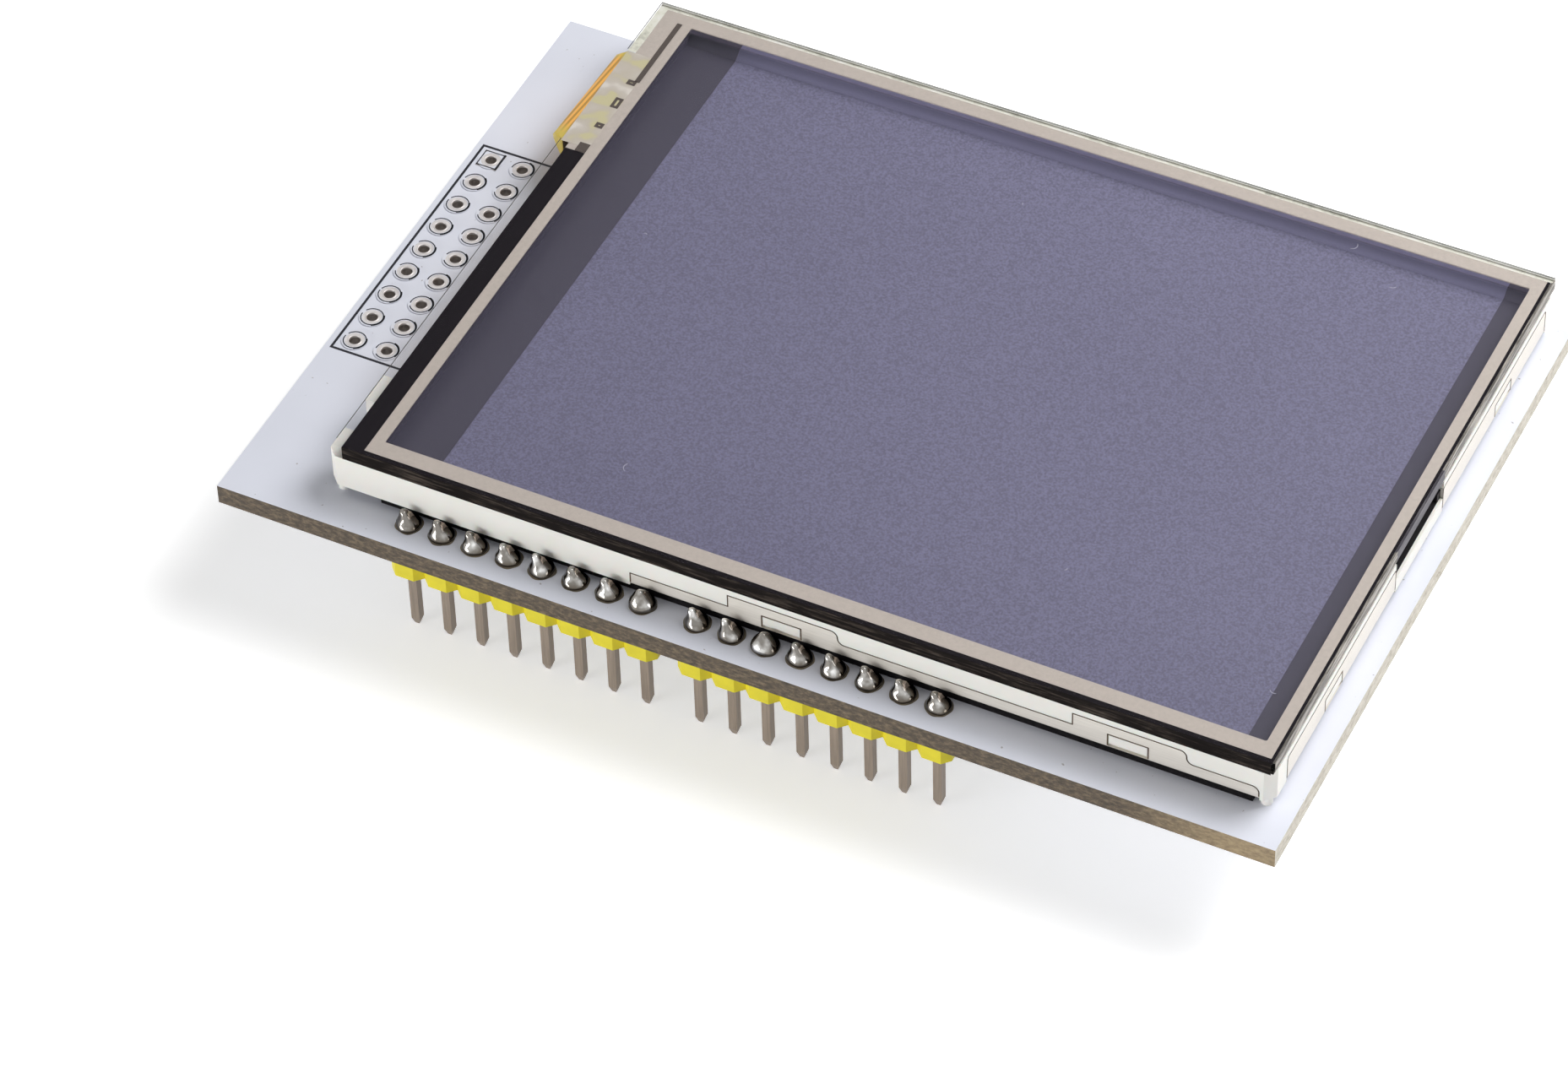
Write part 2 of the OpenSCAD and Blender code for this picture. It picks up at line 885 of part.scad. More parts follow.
// Flat floor of the cover, up to the start of its bends; extra grows it sideways
module cover_floor(extra, height) {
    left = left_face - extra;
    translate([0, 0, display_gap])
        linear_extrude(height) {
            translate([left, guide_front - frame_wall])
                square([pocket_right - left, guide_back - guide_front + 2 * frame_wall]);
            translate([display_x + flange_x - extra, display_y + bend_out])
                square([flange_l + 2 * extra, display_w - 2 * bend_out]);
            translate([left, side_front - extra])
                square([display_right - bend_out - left, notch_front - side_front + 2 * extra]);
            translate([left, notch_back - extra])
                square([display_right - bend_out - left, side_back - notch_back + 2 * extra]);
        }
}

// ---------------------------------------------------------------- backlight frame

// Moulded frame: walls, a ledge for the glass, recesses for the cover's flanges, latches and pegs
module backlight_frame() {
    color("white")
        on_board() {
            difference() {
                frame_body();
                frame_pockets();
                cover_floor(sheet_gap, sheet_t);
                flange_recesses();
                block([pocket_right - cut, notch_front, display_gap + notch_floor],
                    [display_right + cut, notch_back, frame_top + cut]);
            }
            frame_latches();
            frame_pegs();
        }
}

// Outer block with chamfered corners, set back on the left behind the two lugs
module frame_body() {
    c = corner_cut;
    translate([0, 0, display_gap])
        linear_extrude(frame_h)
            polygon([[lug_x + c, display_y], [display_right - c, display_y],
                [display_right, display_y + c], [display_right, display_back - c],
                [display_right - c, display_back], [display_x + c, display_back],
                [display_x, display_back - c], [display_x, pocket_back], [left_face, pocket_back],
                [left_face, lug_y + lug_l], [lug_x, lug_y + lug_l], [lug_x, lug_y], [left_face, lug_y],
                [left_face, corner_lug_back], [lug_x, corner_lug_back], [lug_x, display_y + c]]);
}

// Upper pocket for the glass, open on the left, and lower pocket for the light guide
module frame_pockets() {
    block([left_face - cut, pocket_front, ledge_z], [pocket_right, pocket_back, frame_top + cut]);
    block([left_inside, guide_front, display_gap - cut], [guide_right, guide_back, frame_top]);
}

// Recesses in the outer faces, one clearance larger than the flanges that lie in them
module flange_recesses() {
    on_long_sides()
        recess_cut(flange_l)
            long_flange_outline(sheet_gap);
    on_right_side(side_front)
        recess_cut(notch_front - side_front)
            side_flange_outline(notch_front - side_front, sheet_gap);
    on_right_side(notch_back)
        recess_cut(side_back - notch_back)
            side_flange_outline(side_back - notch_back, sheet_gap);
}

// Recess as deep as the sheet and its clearance, and deeper behind the bend
module recess_cut(length) {
    translate([0, recess, 0])
        rotate([90, 0, 0])
            linear_extrude(recess + cut)
                children();
    block([-sheet_gap, -cut, -cut], [length + sheet_gap, bend_out, bend_out]);
}

// Latches that stand in the windows, flush with the sheet, with a sloped lower face
module frame_latches() {
    on_long_sides()
        for (x = tab_places)
            translate([x + window_start, 0, 0])
                latch();
    on_right_side(0)
        for (y = side_windows)
            translate([y - window_l / 2, 0, 0])
                latch();
}

module latch() {
    top = window_h - latch_gap;
    translate([latch_gap, 0, 0])
        rotate([90, 0, 90])
            linear_extrude(window_l - 2 * latch_gap)
                polygon([[recess, latch_base], [sheet_t / 2, latch_base], [0, latch_base + sheet_t],
                    [0, top], [recess, top]]);
}

module frame_pegs() {
    for (x = [display_x + peg_inset, display_right - peg_inset],
         y = [display_y + peg_inset, display_back - peg_inset])
        translate([x, y, 0])
            cylinder(d = peg_d, h = display_gap);
}

// ---------------------------------------------------------------- backlight

// Sheet that fills the lower pocket from the diodes to the right ledge
module guide_sheet(z, thickness) {
    on_board()
        block([guide_x, guide_front + guide_gap, z],
            [guide_right - guide_gap, guide_back - guide_gap, z + thickness]);
}

module reflector_film() {
    color("whitesmoke")
        guide_sheet(floor_z, reflector_t);
}

module light_guide() {
    color("azure")
        guide_sheet(guide_z, guide_t);
}

module diffuser_film() {
    color("white")
        guide_sheet(diffuser_z, film_t);
}

module prism_film() {
    color("lavender")
        guide_sheet(prism_z, film_t);
}

module led_strip() {
    color("orange")
        on_board()
            block([led_x, guide_front + guide_gap, floor_z],
                [led_x + led_w, guide_back - guide_gap, floor_z + led_strip_t]);
}

module backlight_leds() {
    color("lightyellow")
        on_board()
            for (i = [0 : led_count - 1])
                translate([led_x, guide_front + guide_gap + (i + 0.5) * led_step - led_l / 2,
                        floor_z + led_strip_t])
                    cube([led_w, led_l, led_h]);
}

// ---------------------------------------------------------------- liquid crystal cell

// The rear polarizer lies under the cell, inside the lower pocket
module rear_polarizer() {
    color("slategray")
        on_board()
            block([polarizer_x, guide_front + guide_gap, ledge_z - polarizer_t],
                [guide_right - guide_gap, guide_back - guide_gap, ledge_z]);
}

module front_polarizer() {
    color("dimgray")
        on_board()
            block([polarizer_x, pane_front + polarizer_inset, front_film_z],
                [pane_right - polarizer_inset, pane_back - polarizer_inset, front_film_z + polarizer_t]);
}

module lcd_rear_glass() {
    color("lightcyan")
        on_board()
            block([pane_x, pane_front, rear_pane_z], [pane_right, pane_back, front_pane_z]);
}

module lcd_front_glass() {
    color("lightcyan")
        on_board()
            block([front_pane_x, pane_front, front_pane_z], [pane_right, pane_back, front_film_z]);
}

module driver_chip() {
    middle = display_y + lead_y;
    color("darkslategray")
        on_board()
            block([driver_x, middle - driver_l / 2, front_pane_z],
                [driver_x + driver_w, middle + driver_l / 2, front_pane_z + driver_h]);
}

// Black tape from the contact ledge up onto the edge of the front pane
module driver_shield() {
    color("black")
        on_board()
            block([pane_x, pane_front, front_film_z],
                [polarizer_x - pane_gap, pane_back, front_film_z + shield_t]);
}

// Lead bonded on the contact ledge: it loops round the low wall and lies on the board
module display_flex() {
    top = front_pane_z + lead_t;
    loop_r = top / 2;
    loop_x = left_face + lead_t + sheet_gap * 2;
    color("darkorange")
        on_board()
            translate([0, display_y + lead_y + lead_w / 2, 0])
                rotate([90, 0, 0])
                    linear_extrude(lead_w) {
                        translate([loop_x, front_pane_z])
                            square([pane_x + lead_bond - loop_x, lead_t]);
                        square_loop(loop_x, loop_r);
                        translate([loop_x, 0])
                            square([lead_run, lead_t]);
                    }
}

// Half ring that opens to the right, from the board up to the lead's bond
module square_loop(x, r) {
    translate([x, r])
        difference() {
            circle(r);
            circle(r - lead_t);
            translate([0, -2 * r])
                square(4 * r);
        }
}

// ---------------------------------------------------------------- touch panel

module touch_gasket() {
    g = gasket_inset;
    b = gasket_back;
    color("black")
        on_board()
            translate([0, 0, frame_top])
                linear_extrude(gasket_t)
                    flat_ring([black_x, panel_front + g], [display_right - g, display_back - g],
                        [view_x - b, view_front - b], [view_right + b, view_back + b], window_r);
}

module touch_glass() {
    color("lightblue", 0.4)
        on_board()
            block([panel_x, panel_front, glass_z], [display_right, display_back, print_z]);
}

module touch_film() {
    color("azure", 0.3)
        on_board()
            block([panel_x, panel_front, film_z], [display_right, display_back, film_z + top_film_t]);
}

// Pale printed border round the window, wider beside the tail
module pale_border() {
    color("tan")
        on_board()
            translate([0, 0, print_z])
                linear_extrude(print_t)
                    difference() {
                        union() {
                            flat_ring([pale_x, pale_y], [black_right_x, pale_back_y],
                                [view_x, view_front], [view_right, view_back], window_r);
                            translate([black_x, strip_end])
                                square([pale_x - black_x, pale_back_y - strip_end]);
                        }
                        tail_bond_outline(0);
                    }
}

// Bonded end of the tail, seen from above
module tail_bond_outline(extra) {
    translate([panel_x - cut, tail_front - extra])
        square([tail_bond + cut, tail_w + 2 * extra]);
}

// Black print along the left, the front and the right of the border
module black_border() {
    color("black")
        on_board()
            translate([0, 0, print_z])
                linear_extrude(print_t) {
                    translate([black_x, panel_front])
                        square([pale_x - black_x, strip_end - panel_front]);
                    translate([pale_x, panel_front])
                        square([black_right_end - pale_x, black_front]);
                    translate([black_right_x, pale_y])
                        square([black_right, pale_back_y - pale_y]);
                }
}

// Tail: bonded under the film, bowed out past the panel, and folded in under the display
module touch_flex() {
    top = print_z;
    x = panel_x;
    bow = panel_x - tail_bow;
    color("orange")
        on_board()
            translate([0, tail_back, 0])
                rotate([90, 0, 0])
                    linear_extrude(tail_w) {
                        translate([bow + tail_r, top])
                            square([x + tail_bond - bow - tail_r, tail_t]);
                        translate([bow + tail_r, top + tail_t - tail_r])
                            quarter_ring(90);
                        translate([bow, tail_r])
                            square([tail_t, top + tail_t - 2 * tail_r]);
                        translate([bow + tail_r, tail_r])
                            quarter_ring(180);
                        translate([bow + tail_r, 0])
                            square([x - bow - tail_r + tail_run, tail_t]);
                    }
}

module quarter_ring(start) {
    intersection() {
        difference() {
            circle(tail_r);
            circle(tail_r - tail_t);
        }
        rotate(start)
            square(tail_r);
    }
}

// ---------------------------------------------------------------- card socket, under the board

// Plastic floor, the block that holds the contacts, and two side rails
module card_socket_base() {
    inner = socket_h - shell_t;
    color("black")
        under_board()
            difference() {
                union() {
                    block([socket_x, socket_front + shell_t, 0],
                        [socket_right, socket_front + socket_w - shell_t, base_t]);
                    block([socket_x, socket_front + shell_t, 0],
                        [socket_x + block_l, socket_front + socket_w - shell_t, inner]);
                    for (y = [socket_front + shell_t, socket_front + socket_w - shell_t - rail_w])
                        block([socket_x, y, 0], [socket_right, y + rail_w, inner]);
                }
                for (i = [0 : contact_count - 1])
                    contact_slot(i);
            }
}

// Shell: a plate with two spring tongues and two side walls
module card_socket_shell() {
    tongue_l = socket_l / 3;
    tongue_w = rail_w;
    slot_w = shell_t * 2;
    color("silver")
        under_board()
            difference() {
                union() {
                    block([socket_x, socket_front, socket_h - shell_t],
                        [socket_right, socket_front + socket_w, socket_h]);
                    for (y = [socket_front, socket_front + socket_w - shell_t])
                        block([socket_x, y, 0], [socket_right, y + shell_t, socket_h]);
                }
                for (side = [1, 3])
                    translate([socket_x + socket_l / 2, socket_front + side * socket_w / 4 - tongue_w / 2,
                            socket_h - shell_t - cut])
                        tongue_cut(tongue_l, tongue_w, slot_w);
            }
}

// Slot round three sides of a spring tongue
module tongue_cut(length, width, slot) {
    linear_extrude(shell_t + 2 * cut)
        difference() {
            square([length, width]);
            translate([slot, slot])
                square([length, width - 2 * slot]);
        }
}

function contact_y(i) = socket_y + (i - (contact_count - 1) / 2) * contact_pitch - contact_w / 2;

// Contacts: a flat blade in the floor and a foot behind the socket
module card_socket_contacts() {
    color("gold")
        under_board()
            for (i = [0 : contact_count - 1])
                contact_blade(i);
}

module contact_blade(i) {
    blade = block_l * 2.5;
    translate([socket_x, contact_y(i), 0])
        cube([blade, contact_w, base_t]);
    translate([socket_x - contact_pitch, contact_y(i), 0])
        cube([contact_pitch, contact_w, shell_t]);
}

module contact_slot(i) {
    translate([socket_x - cut, contact_y(i), -cut])
        cube([block_l * 2.5 + cut, contact_w, base_t + cut]);
}

// ---------------------------------------------------------------- chips, under the board

module chip_body(x) {
    color("dimgray")
        under_board()
            translate([x, chip_y - chip_w / 2, chip_lift])
                cube([chip_l, chip_w, chip_h]);
}

// Gull-wing leads along both long sides of a chip
module chip_leads_at(x) {
    first = x + chip_l / 2 - (chip_leads - 1) * chip_pitch / 2 - chip_lead_w / 2;
    color("silver")
        under_board()
            for (i = [0 : chip_leads - 1], side = [0, 1])
                translate([first + i * chip_pitch, chip_y, 0])
                    mirror([0, side, 0])
                        gull_wing(chip_w / 2, chip_lead_w, chip_lead_t, chip_lead_out, chip_foot,
                            chip_lift + chip_h / 2);
}

// One lead: foot on the board, riser, and shoulder that meets the body at the given height
module gull_wing(body_y, width, thick, out, foot, height) {
    riser = out - foot;
    rotate([90, 0, 90])
        linear_extrude(width)
            polygon([[body_y, height - thick / 2], [body_y + riser - thick, height - thick / 2],
                [body_y + riser - thick, 0], [body_y + out, 0], [body_y + out, thick],
                [body_y + riser, thick], [body_y + riser, height + thick / 2],
                [body_y, height + thick / 2]]);
}

module logic_chip_left() {
    chip_body(chip_x);
}

module logic_chip_right() {
    chip_body(chip_x + chip_step);
}

module logic_leads_left() {
    chip_leads_at(chip_x);
}

module logic_leads_right() {
    chip_leads_at(chip_x + chip_step);
}

module regulator_body() {
    color("dimgray")
        under_board()
            translate([reg_x, reg_y - reg_w / 2, chip_lift])
                cube([reg_l, reg_w, reg_h]);
}

// Three leads at the front and one wide tab at the back
module regulator_leads() {
    height = chip_lift + reg_h / 2;
    middle = reg_x + reg_l / 2;
    color("silver")
        under_board() {
            for (i = [-1 : 1])
                translate([middle + i * reg_pitch - reg_lead_w / 2, reg_y, 0])
                    mirror([0, 1, 0])
                        gull_wing(reg_w / 2, reg_lead_w, reg_lead_t, reg_out, reg_out / 2, height);
            translate([middle - reg_tab_w / 2, reg_y, 0])
                gull_wing(reg_w / 2, reg_tab_w, reg_lead_t, reg_out, reg_out / 2, height);
        }
}

// Bodies of small chips in a row, between their metal ends
module small_bodies(x, y, count, height) {
    under_board()
        for (i = [0 : count - 1])
            translate([x + i * small_step + small_end, y, 0])
                cube([small_l - 2 * small_end, small_w, height]);
}

module small_ends(x, y, count, height) {
    under_board()
        for (i = [0 : count - 1], side = [0, small_l - small_end])
            translate([x + i * small_step + side, y, 0])
                cube([small_end, small_w, height]);
}

module chip_resistors() {
    color("black")
        small_bodies(resistor_x, resistor_y, resistor_count, resistor_h);
}

module resistor_ends() {
    color("silver")
        small_ends(resistor_x, resistor_y, resistor_count, resistor_h);
}

module chip_capacitors() {
    color("tan")
        small_bodies(capacitor_x, capacitor_y, capacitor_count, capacitor_h);
}

module capacitor_ends() {
    color("silver")
        small_ends(capacitor_x, capacitor_y, capacitor_count, capacitor_h);
}

circuit_board();
expansion_eyelets();
front_header_left();
front_header_right();
back_header_left();
back_header_right();
front_pins_left();
front_pins_right();
back_pins_left();
back_pins_right();
front_solder_left();
front_solder_right();
back_solder_left();
back_solder_right();
mounting_tape_front();
mounting_tape_back();
back_cover();
backlight_frame();
reflector_film();
light_guide();
diffuser_film();
prism_film();
led_strip();
backlight_leds();
rear_polarizer();
lcd_rear_glass();
lcd_front_glass();
front_polarizer();
driver_chip();
driver_shield();
display_flex();
touch_gasket();
touch_glass();
pale_border();
black_border();
touch_film();
touch_flex();
card_socket_base();
card_socket_shell();
card_socket_contacts();
logic_chip_left();
logic_chip_right();
logic_leads_left();
logic_leads_right();
regulator_body();
regulator_leads();
chip_resistors();
resistor_ends();
chip_capacitors();
capacitor_ends();
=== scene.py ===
"""Looks of a resistive touch display on its carrier board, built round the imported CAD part."""
import math
import random

import bpy
from mathutils import Matrix, Vector, noise


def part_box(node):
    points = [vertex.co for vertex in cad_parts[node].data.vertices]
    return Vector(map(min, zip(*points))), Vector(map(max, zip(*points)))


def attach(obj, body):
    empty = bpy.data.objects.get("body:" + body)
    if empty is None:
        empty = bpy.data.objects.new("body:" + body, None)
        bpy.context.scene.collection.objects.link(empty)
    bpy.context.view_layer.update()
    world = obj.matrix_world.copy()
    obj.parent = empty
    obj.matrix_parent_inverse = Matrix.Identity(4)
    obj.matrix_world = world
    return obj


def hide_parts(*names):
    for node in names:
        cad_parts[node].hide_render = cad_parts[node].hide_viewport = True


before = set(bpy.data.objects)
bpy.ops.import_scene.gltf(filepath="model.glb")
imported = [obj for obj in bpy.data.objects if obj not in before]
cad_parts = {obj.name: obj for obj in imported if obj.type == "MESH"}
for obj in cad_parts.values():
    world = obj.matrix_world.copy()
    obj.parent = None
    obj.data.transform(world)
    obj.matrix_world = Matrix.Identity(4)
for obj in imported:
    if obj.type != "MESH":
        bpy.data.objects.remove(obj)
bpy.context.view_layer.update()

MM = 0.001
BODY = "root"
PITCH = 2.54 * MM
INK_T = 0.02 * MM  # thickness of the layers laid on the board and the cell
PRINT_T = 0.01 * MM  # thickness of the print in the touch panel

BOARD_LO, BOARD_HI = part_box("circuit_board")
DECK = BOARD_HI.z  # top face of the carrier board
LANDS_LO, LANDS_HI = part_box("expansion_eyelets")
LAND_R = 0.825 * MM
LAND_COLUMNS, LAND_ROWS = 2, 9
STRIP_PINS = 8  # soldered pins in each front strip

FRAME_LO, FRAME_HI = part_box("backlight_frame")
GLASS_LO, GLASS_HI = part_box("touch_glass")
FILM_LO, FILM_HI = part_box("touch_film")
PALE_LO, PALE_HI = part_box("pale_border")
BLACK_LO, BLACK_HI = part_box("black_border")
GASKET_LO, GASKET_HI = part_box("touch_gasket")
FLEX_LO, FLEX_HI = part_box("touch_flex")
CELL_LO, CELL_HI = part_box("front_polarizer")
PANE_LO, PANE_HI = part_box("lcd_rear_glass")

WINDOW_LEFT = BLACK_LO.x + 2.43 * MM  # inner edge of the pale border
# The picture area stops short of the polarizer on the left and the right
ACTIVE_LEFT = CELL_LO.x + 1.39 * MM
ACTIVE_RIGHT = CELL_HI.x - 1.61 * MM
# Notch in the frame's right wall
NOTCH_Y, NOTCH_HALF = FRAME_LO.y + 24.95 * MM, 4.2 * MM
NOTCH_FRONT, NOTCH_BACK = NOTCH_Y - NOTCH_HALF, NOTCH_Y + NOTCH_HALF
NOTCH_FLOOR = FRAME_LO.z + 1.85 * MM


# ------------------------------------------------------------------ materials

WHITE = (1, 1, 1)


def grey(value):
    return (value, value, value)


def tinted(colour, factor):
    return tuple(min(1.0, c * factor) for c in colour)


class Nodes:
    """A material's node tree with short calls for the nodes that the surfaces share."""

    def __init__(self, name):
        self.material = bpy.data.materials.new(name)
        self.material.use_nodes = True
        self.tree = self.material.node_tree
        self.shader = self.tree.nodes["Principled BSDF"]
        self.coordinates = self.new("ShaderNodeTexCoord").outputs["Object"]

    def new(self, kind, **settings):
        node = self.tree.nodes.new(kind)
        for key, value in settings.items():
            setattr(node, key, value)
        return node

    def link(self, source, target):
        self.tree.links.new(source, target)

    def feed(self, value, socket):
        """Sets a socket from another socket, a colour or a number."""
        if isinstance(value, bpy.types.NodeSocket):
            self.link(value, socket)
        elif isinstance(value, tuple):
            socket.default_value = (*value, 1.0)
        else:
            socket.default_value = value

    def mapping(self, stretch, turn=0.0):
        """Object coordinates in millimetres, stretched along the axes and turned about Z."""
        node = self.new("ShaderNodeMapping")
        node.inputs["Scale"].default_value = [s / MM for s in stretch]
        node.inputs["Rotation"].default_value = (0, 0, turn)
        self.link(self.coordinates, node.inputs["Vector"])
        return node.outputs["Vector"]

    def noise(self, scale, detail=3.0, rough=0.5, stretch=(1, 1, 1)):
        node = self.new("ShaderNodeTexNoise")
        node.inputs["Scale"].default_value = scale
        node.inputs["Detail"].default_value = detail
        node.inputs["Roughness"].default_value = rough
        self.link(self.mapping(stretch), node.inputs["Vector"])
        return node.outputs["Fac"]

    def ramp(self, factor, *stops):
        """Colour ramp through (position, colour) stops."""
        node = self.new("ShaderNodeValToRGB")
        elements = node.color_ramp.elements
        while len(elements) < len(stops):
            elements.new(0.5)
        for element, (position, colour) in zip(elements, stops):
            element.position = position
            element.color = (*colour, 1.0)
        self.link(factor, node.inputs["Fac"])
        return node.outputs["Color"]

    def blend(self, factor, a, b, mode="MIX"):
        node = self.new("ShaderNodeMix", data_type="RGBA", blend_type=mode)
        self.feed(factor, node.inputs[0])
        self.feed(a, node.inputs[6])
        self.feed(b, node.inputs[7])
        return node.outputs[2]

    def maths(self, operation, a, b=0.0):
        node = self.new("ShaderNodeMath", operation=operation)
        self.feed(a, node.inputs[0])
        self.feed(b, node.inputs[1])
        return node.outputs[0]

    def axis(self, name):
        """One coordinate of the surface point, in metres."""
        node = self.new("ShaderNodeSeparateXYZ")
        self.link(self.coordinates, node.inputs[0])
        return node.outputs[name]

    def facing(self, name):
        """One component of the surface normal."""
        node = self.new("ShaderNodeSeparateXYZ")
        self.link(self.new("ShaderNodeNewGeometry").outputs["True Normal"], node.inputs[0])
        return node.outputs[name]

    def flat(self):
        """1 on level faces, 0 on upright ones."""
        return self.maths("GREATER_THAN", self.maths("ABSOLUTE", self.facing("Z")), 0.5)

    def turned(self, direction):
        """How far the surface turns towards a direction."""
        node = self.new("ShaderNodeVectorMath", operation="DOT_PRODUCT")
        self.link(self.new("ShaderNodeNewGeometry").outputs["Normal"], node.inputs[0])
        node.inputs[1].default_value = direction
        return node.outputs["Value"]

    def between(self, value, low, high, soft):
        """1 where value lies between low and high, with a soft edge."""
        steps = []
        for start, end in ((low - soft, low + soft), (high + soft, high - soft)):
            node = self.new("ShaderNodeMapRange")
            self.feed(value, node.inputs["Value"])
            node.inputs["From Min"].default_value = start
            node.inputs["From Max"].default_value = end
            steps.append(node.outputs[0])
        return self.maths("MULTIPLY", *steps)

    def bump(self, height, strength, distance=0.02 * MM):
        node = self.new("ShaderNodeBump")
        node.inputs["Strength"].default_value = strength
        node.inputs["Distance"].default_value = distance
        self.link(height, node.inputs["Height"])
        self.link(node.outputs["Normal"], self.shader.inputs["Normal"])

    def coat(self, weight, roughness):
        self.shader.inputs["Coat Weight"].default_value = weight
        self.shader.inputs["Coat Roughness"].default_value = roughness

    def finish(self, colour, roughness, metallic=0.0, specular=0.5, alpha=1.0):
        self.feed(colour, self.shader.inputs["Base Color"])
        self.shader.inputs["Roughness"].default_value = roughness
        self.shader.inputs["Metallic"].default_value = metallic
        self.shader.inputs["Specular IOR Level"].default_value = specular
        self.shader.inputs["Alpha"].default_value = alpha
        return self.material


def mottled(name, colour, spread=0.05, scale=0.6, roughness=0.5, metallic=0.0, grain=8.0,
            relief=0.1, specular=0.5):
    """A surface whose colour drifts a little, with a fine grain in relief."""
    m = Nodes(name)
    drift = m.noise(scale, 4.0)
    m.bump(m.noise(grain, 2.0), relief)
    shades = m.ramp(drift, (0.3, tinted(colour, 1 - spread)), (0.7, tinted(colour, 1 + spread)))
    return m.finish(shades, roughness, metallic, specular)


def brushed(name, colour, along, roughness, spread=0.12, metallic=1.0):
    """Drawn or rolled metal: fine streaks along one axis."""
    m = Nodes(name)
    stretch = [0.35 if axis == along else 9.0 for axis in "XYZ"]
    streaks = m.noise(1.0, 3.0, 0.6, stretch)
    m.bump(streaks, 0.1)
    shades = m.ramp(streaks, (0.3, tinted(colour, 1 - spread)), (0.7, tinted(colour, 1 + spread)))
    return m.finish(shades, roughness, metallic)


def clear(name, colour, alpha, roughness):
    """A clear layer: mostly see-through, with a little of its own tint and a soft gloss."""
    m = Nodes(name)
    shades = m.ramp(m.noise(0.5, 2.0), (0.3, tinted(colour, 0.97)), (0.7, tinted(colour, 1.03)))
    return m.finish(shades, roughness, 0.0, 0.5, alpha)


def printed(name, colour, roughness=0.6, specular=0.3):
    """Printed ink: one colour with a slight grain."""
    m = Nodes(name)
    grain = m.noise(4.0, 3.0, 0.65)
    m.bump(grain, 0.05, 0.01 * MM)
    shades = m.ramp(grain, (0.3, tinted(colour, 0.94)), (0.7, tinted(colour, 1.06)))
    return m.finish(shades, roughness, 0.0, specular)


def streaked(name, dark, light, stretch, roughness=0.5, threshold=0.55, specular=0.2):
    """Ground glass or sealant seen from its edge: long broken streaks."""
    m = Nodes(name)
    streaks = m.noise(1.0, 5.0, 0.7, stretch)
    m.bump(streaks, 0.3, 0.03 * MM)
    shades = m.ramp(streaks, (0.35, dark), (threshold, tinted(dark, 1.6)),
                    (threshold + 0.15, light))
    return m.finish(shades, roughness, 0.0, specular)


def bare_laminate(m):
    """The board's cut edges: brown glass layers, paler near the right end, and with painted light
    on the right end's face, where the light falls on it.
    """
    weave = m.noise(1.0, 4.0, 0.7, (1.6, 1.6, 3.4))
    brown = m.ramp(weave, (0.34, (0.036, 0.026, 0.016)), (0.5, (0.085, 0.061, 0.038)),
                   (0.66, (0.190, 0.140, 0.085)))
    # Paler brown towards the right end of the cut edges.
    paler_brown = m.ramp(weave, (0.3, (0.20, 0.14, 0.08)), (0.65, (0.42, 0.32, 0.18)))
    right_face_painted_light = m.ramp(weave, (0.28, (0.20, 0.16, 0.10)), (0.42, (0.42, 0.38, 0.30)),
                     (0.7, (0.62, 0.58, 0.50)))
    near_right = m.between(m.axis("X"), BOARD_HI.x - 7 * MM, BOARD_HI.x + PITCH, 4 * MM)
    # Painted light: the right end's face takes a paler colour because the lamps light it strongly.
    right_edge = m.maths("GREATER_THAN", m.facing("X"), 0.5)
    return m.blend(right_edge, m.blend(near_right, brown, paler_brown), right_face_painted_light)


def solder_mask():
    """White mask on the flat faces; bare laminate with its glass layers on the edges."""
    m = Nodes("solder_mask")
    mask = m.ramp(m.noise(0.12, 3.0),
                  (0.3, (0.735, 0.755, 0.840)), (0.7, (0.775, 0.795, 0.880)))
    specks = m.ramp(m.noise(2.6, 2.0, 0.4), (0.22, (0.42, 0.37, 0.33)), (0.255, WHITE))
    speckled = m.blend(0.7, mask, specks, "MULTIPLY")
    m.bump(m.noise(1.6, 3.0), 0.1, 0.03 * MM)
    m.coat(0.15, 0.25)
    return m.finish(m.blend(m.flat(), bare_laminate(m), speckled), 0.45, 0.0, 0.3)


def tinned_lands():
    """Bright rings on the board's faces, and a darker lining down each hole."""
    m = Nodes("tinned_lands")
    tin = m.ramp(m.noise(1.6, 3.0), (0.3, (0.56, 0.53, 0.53)), (0.7, (0.74, 0.71, 0.70)))
    lining = m.ramp(m.noise(2.5, 3.0), (0.3, (0.26, 0.225, 0.205)), (0.7, (0.48, 0.43, 0.39)))
    m.bump(m.noise(3.0, 3.0), 0.3)
    return m.finish(m.blend(m.flat(), lining, tin), 0.4, 0.35)


def bright_solder():
    """Shiny tin, darker round the foot, with painted shade on the flanks that turn away from the
    light.
    """
    m = Nodes("bright_solder")
    m.bump(m.noise(1.3, 2.0), 0.2, 0.05 * MM)
    foot = m.between(m.axis("Z"), DECK - 1 * MM, DECK + 0.36 * MM, 0.2 * MM)
    # Painted shade: the flanks that turn to the right and to the left are darkened in the colour,
    # standing in for dark reflections and shade.
    right_flank_painted_shade = m.between(m.turned((0.80, 0.35, -0.10)), 0.34, 2.0, 0.14)
    left_flank_painted_shade = m.between(m.turned((-0.85, -0.35, -0.10)), 0.72, 2.0, 0.10)
    tin = m.ramp(m.noise(1.1, 2.0), (0.42, (0.24, 0.225, 0.205)), (0.58, (0.50, 0.49, 0.47)),
                 (0.67, (0.88, 0.88, 0.87)))
    tin_with_painted_shade = m.blend(m.maths("MAXIMUM", right_flank_painted_shade, left_flank_painted_shade), tin, (0.060, 0.050, 0.042))
    return m.finish(m.blend(foot, tin_with_painted_shade, (0.11, 0.092, 0.070)), 0.11, 1.0)


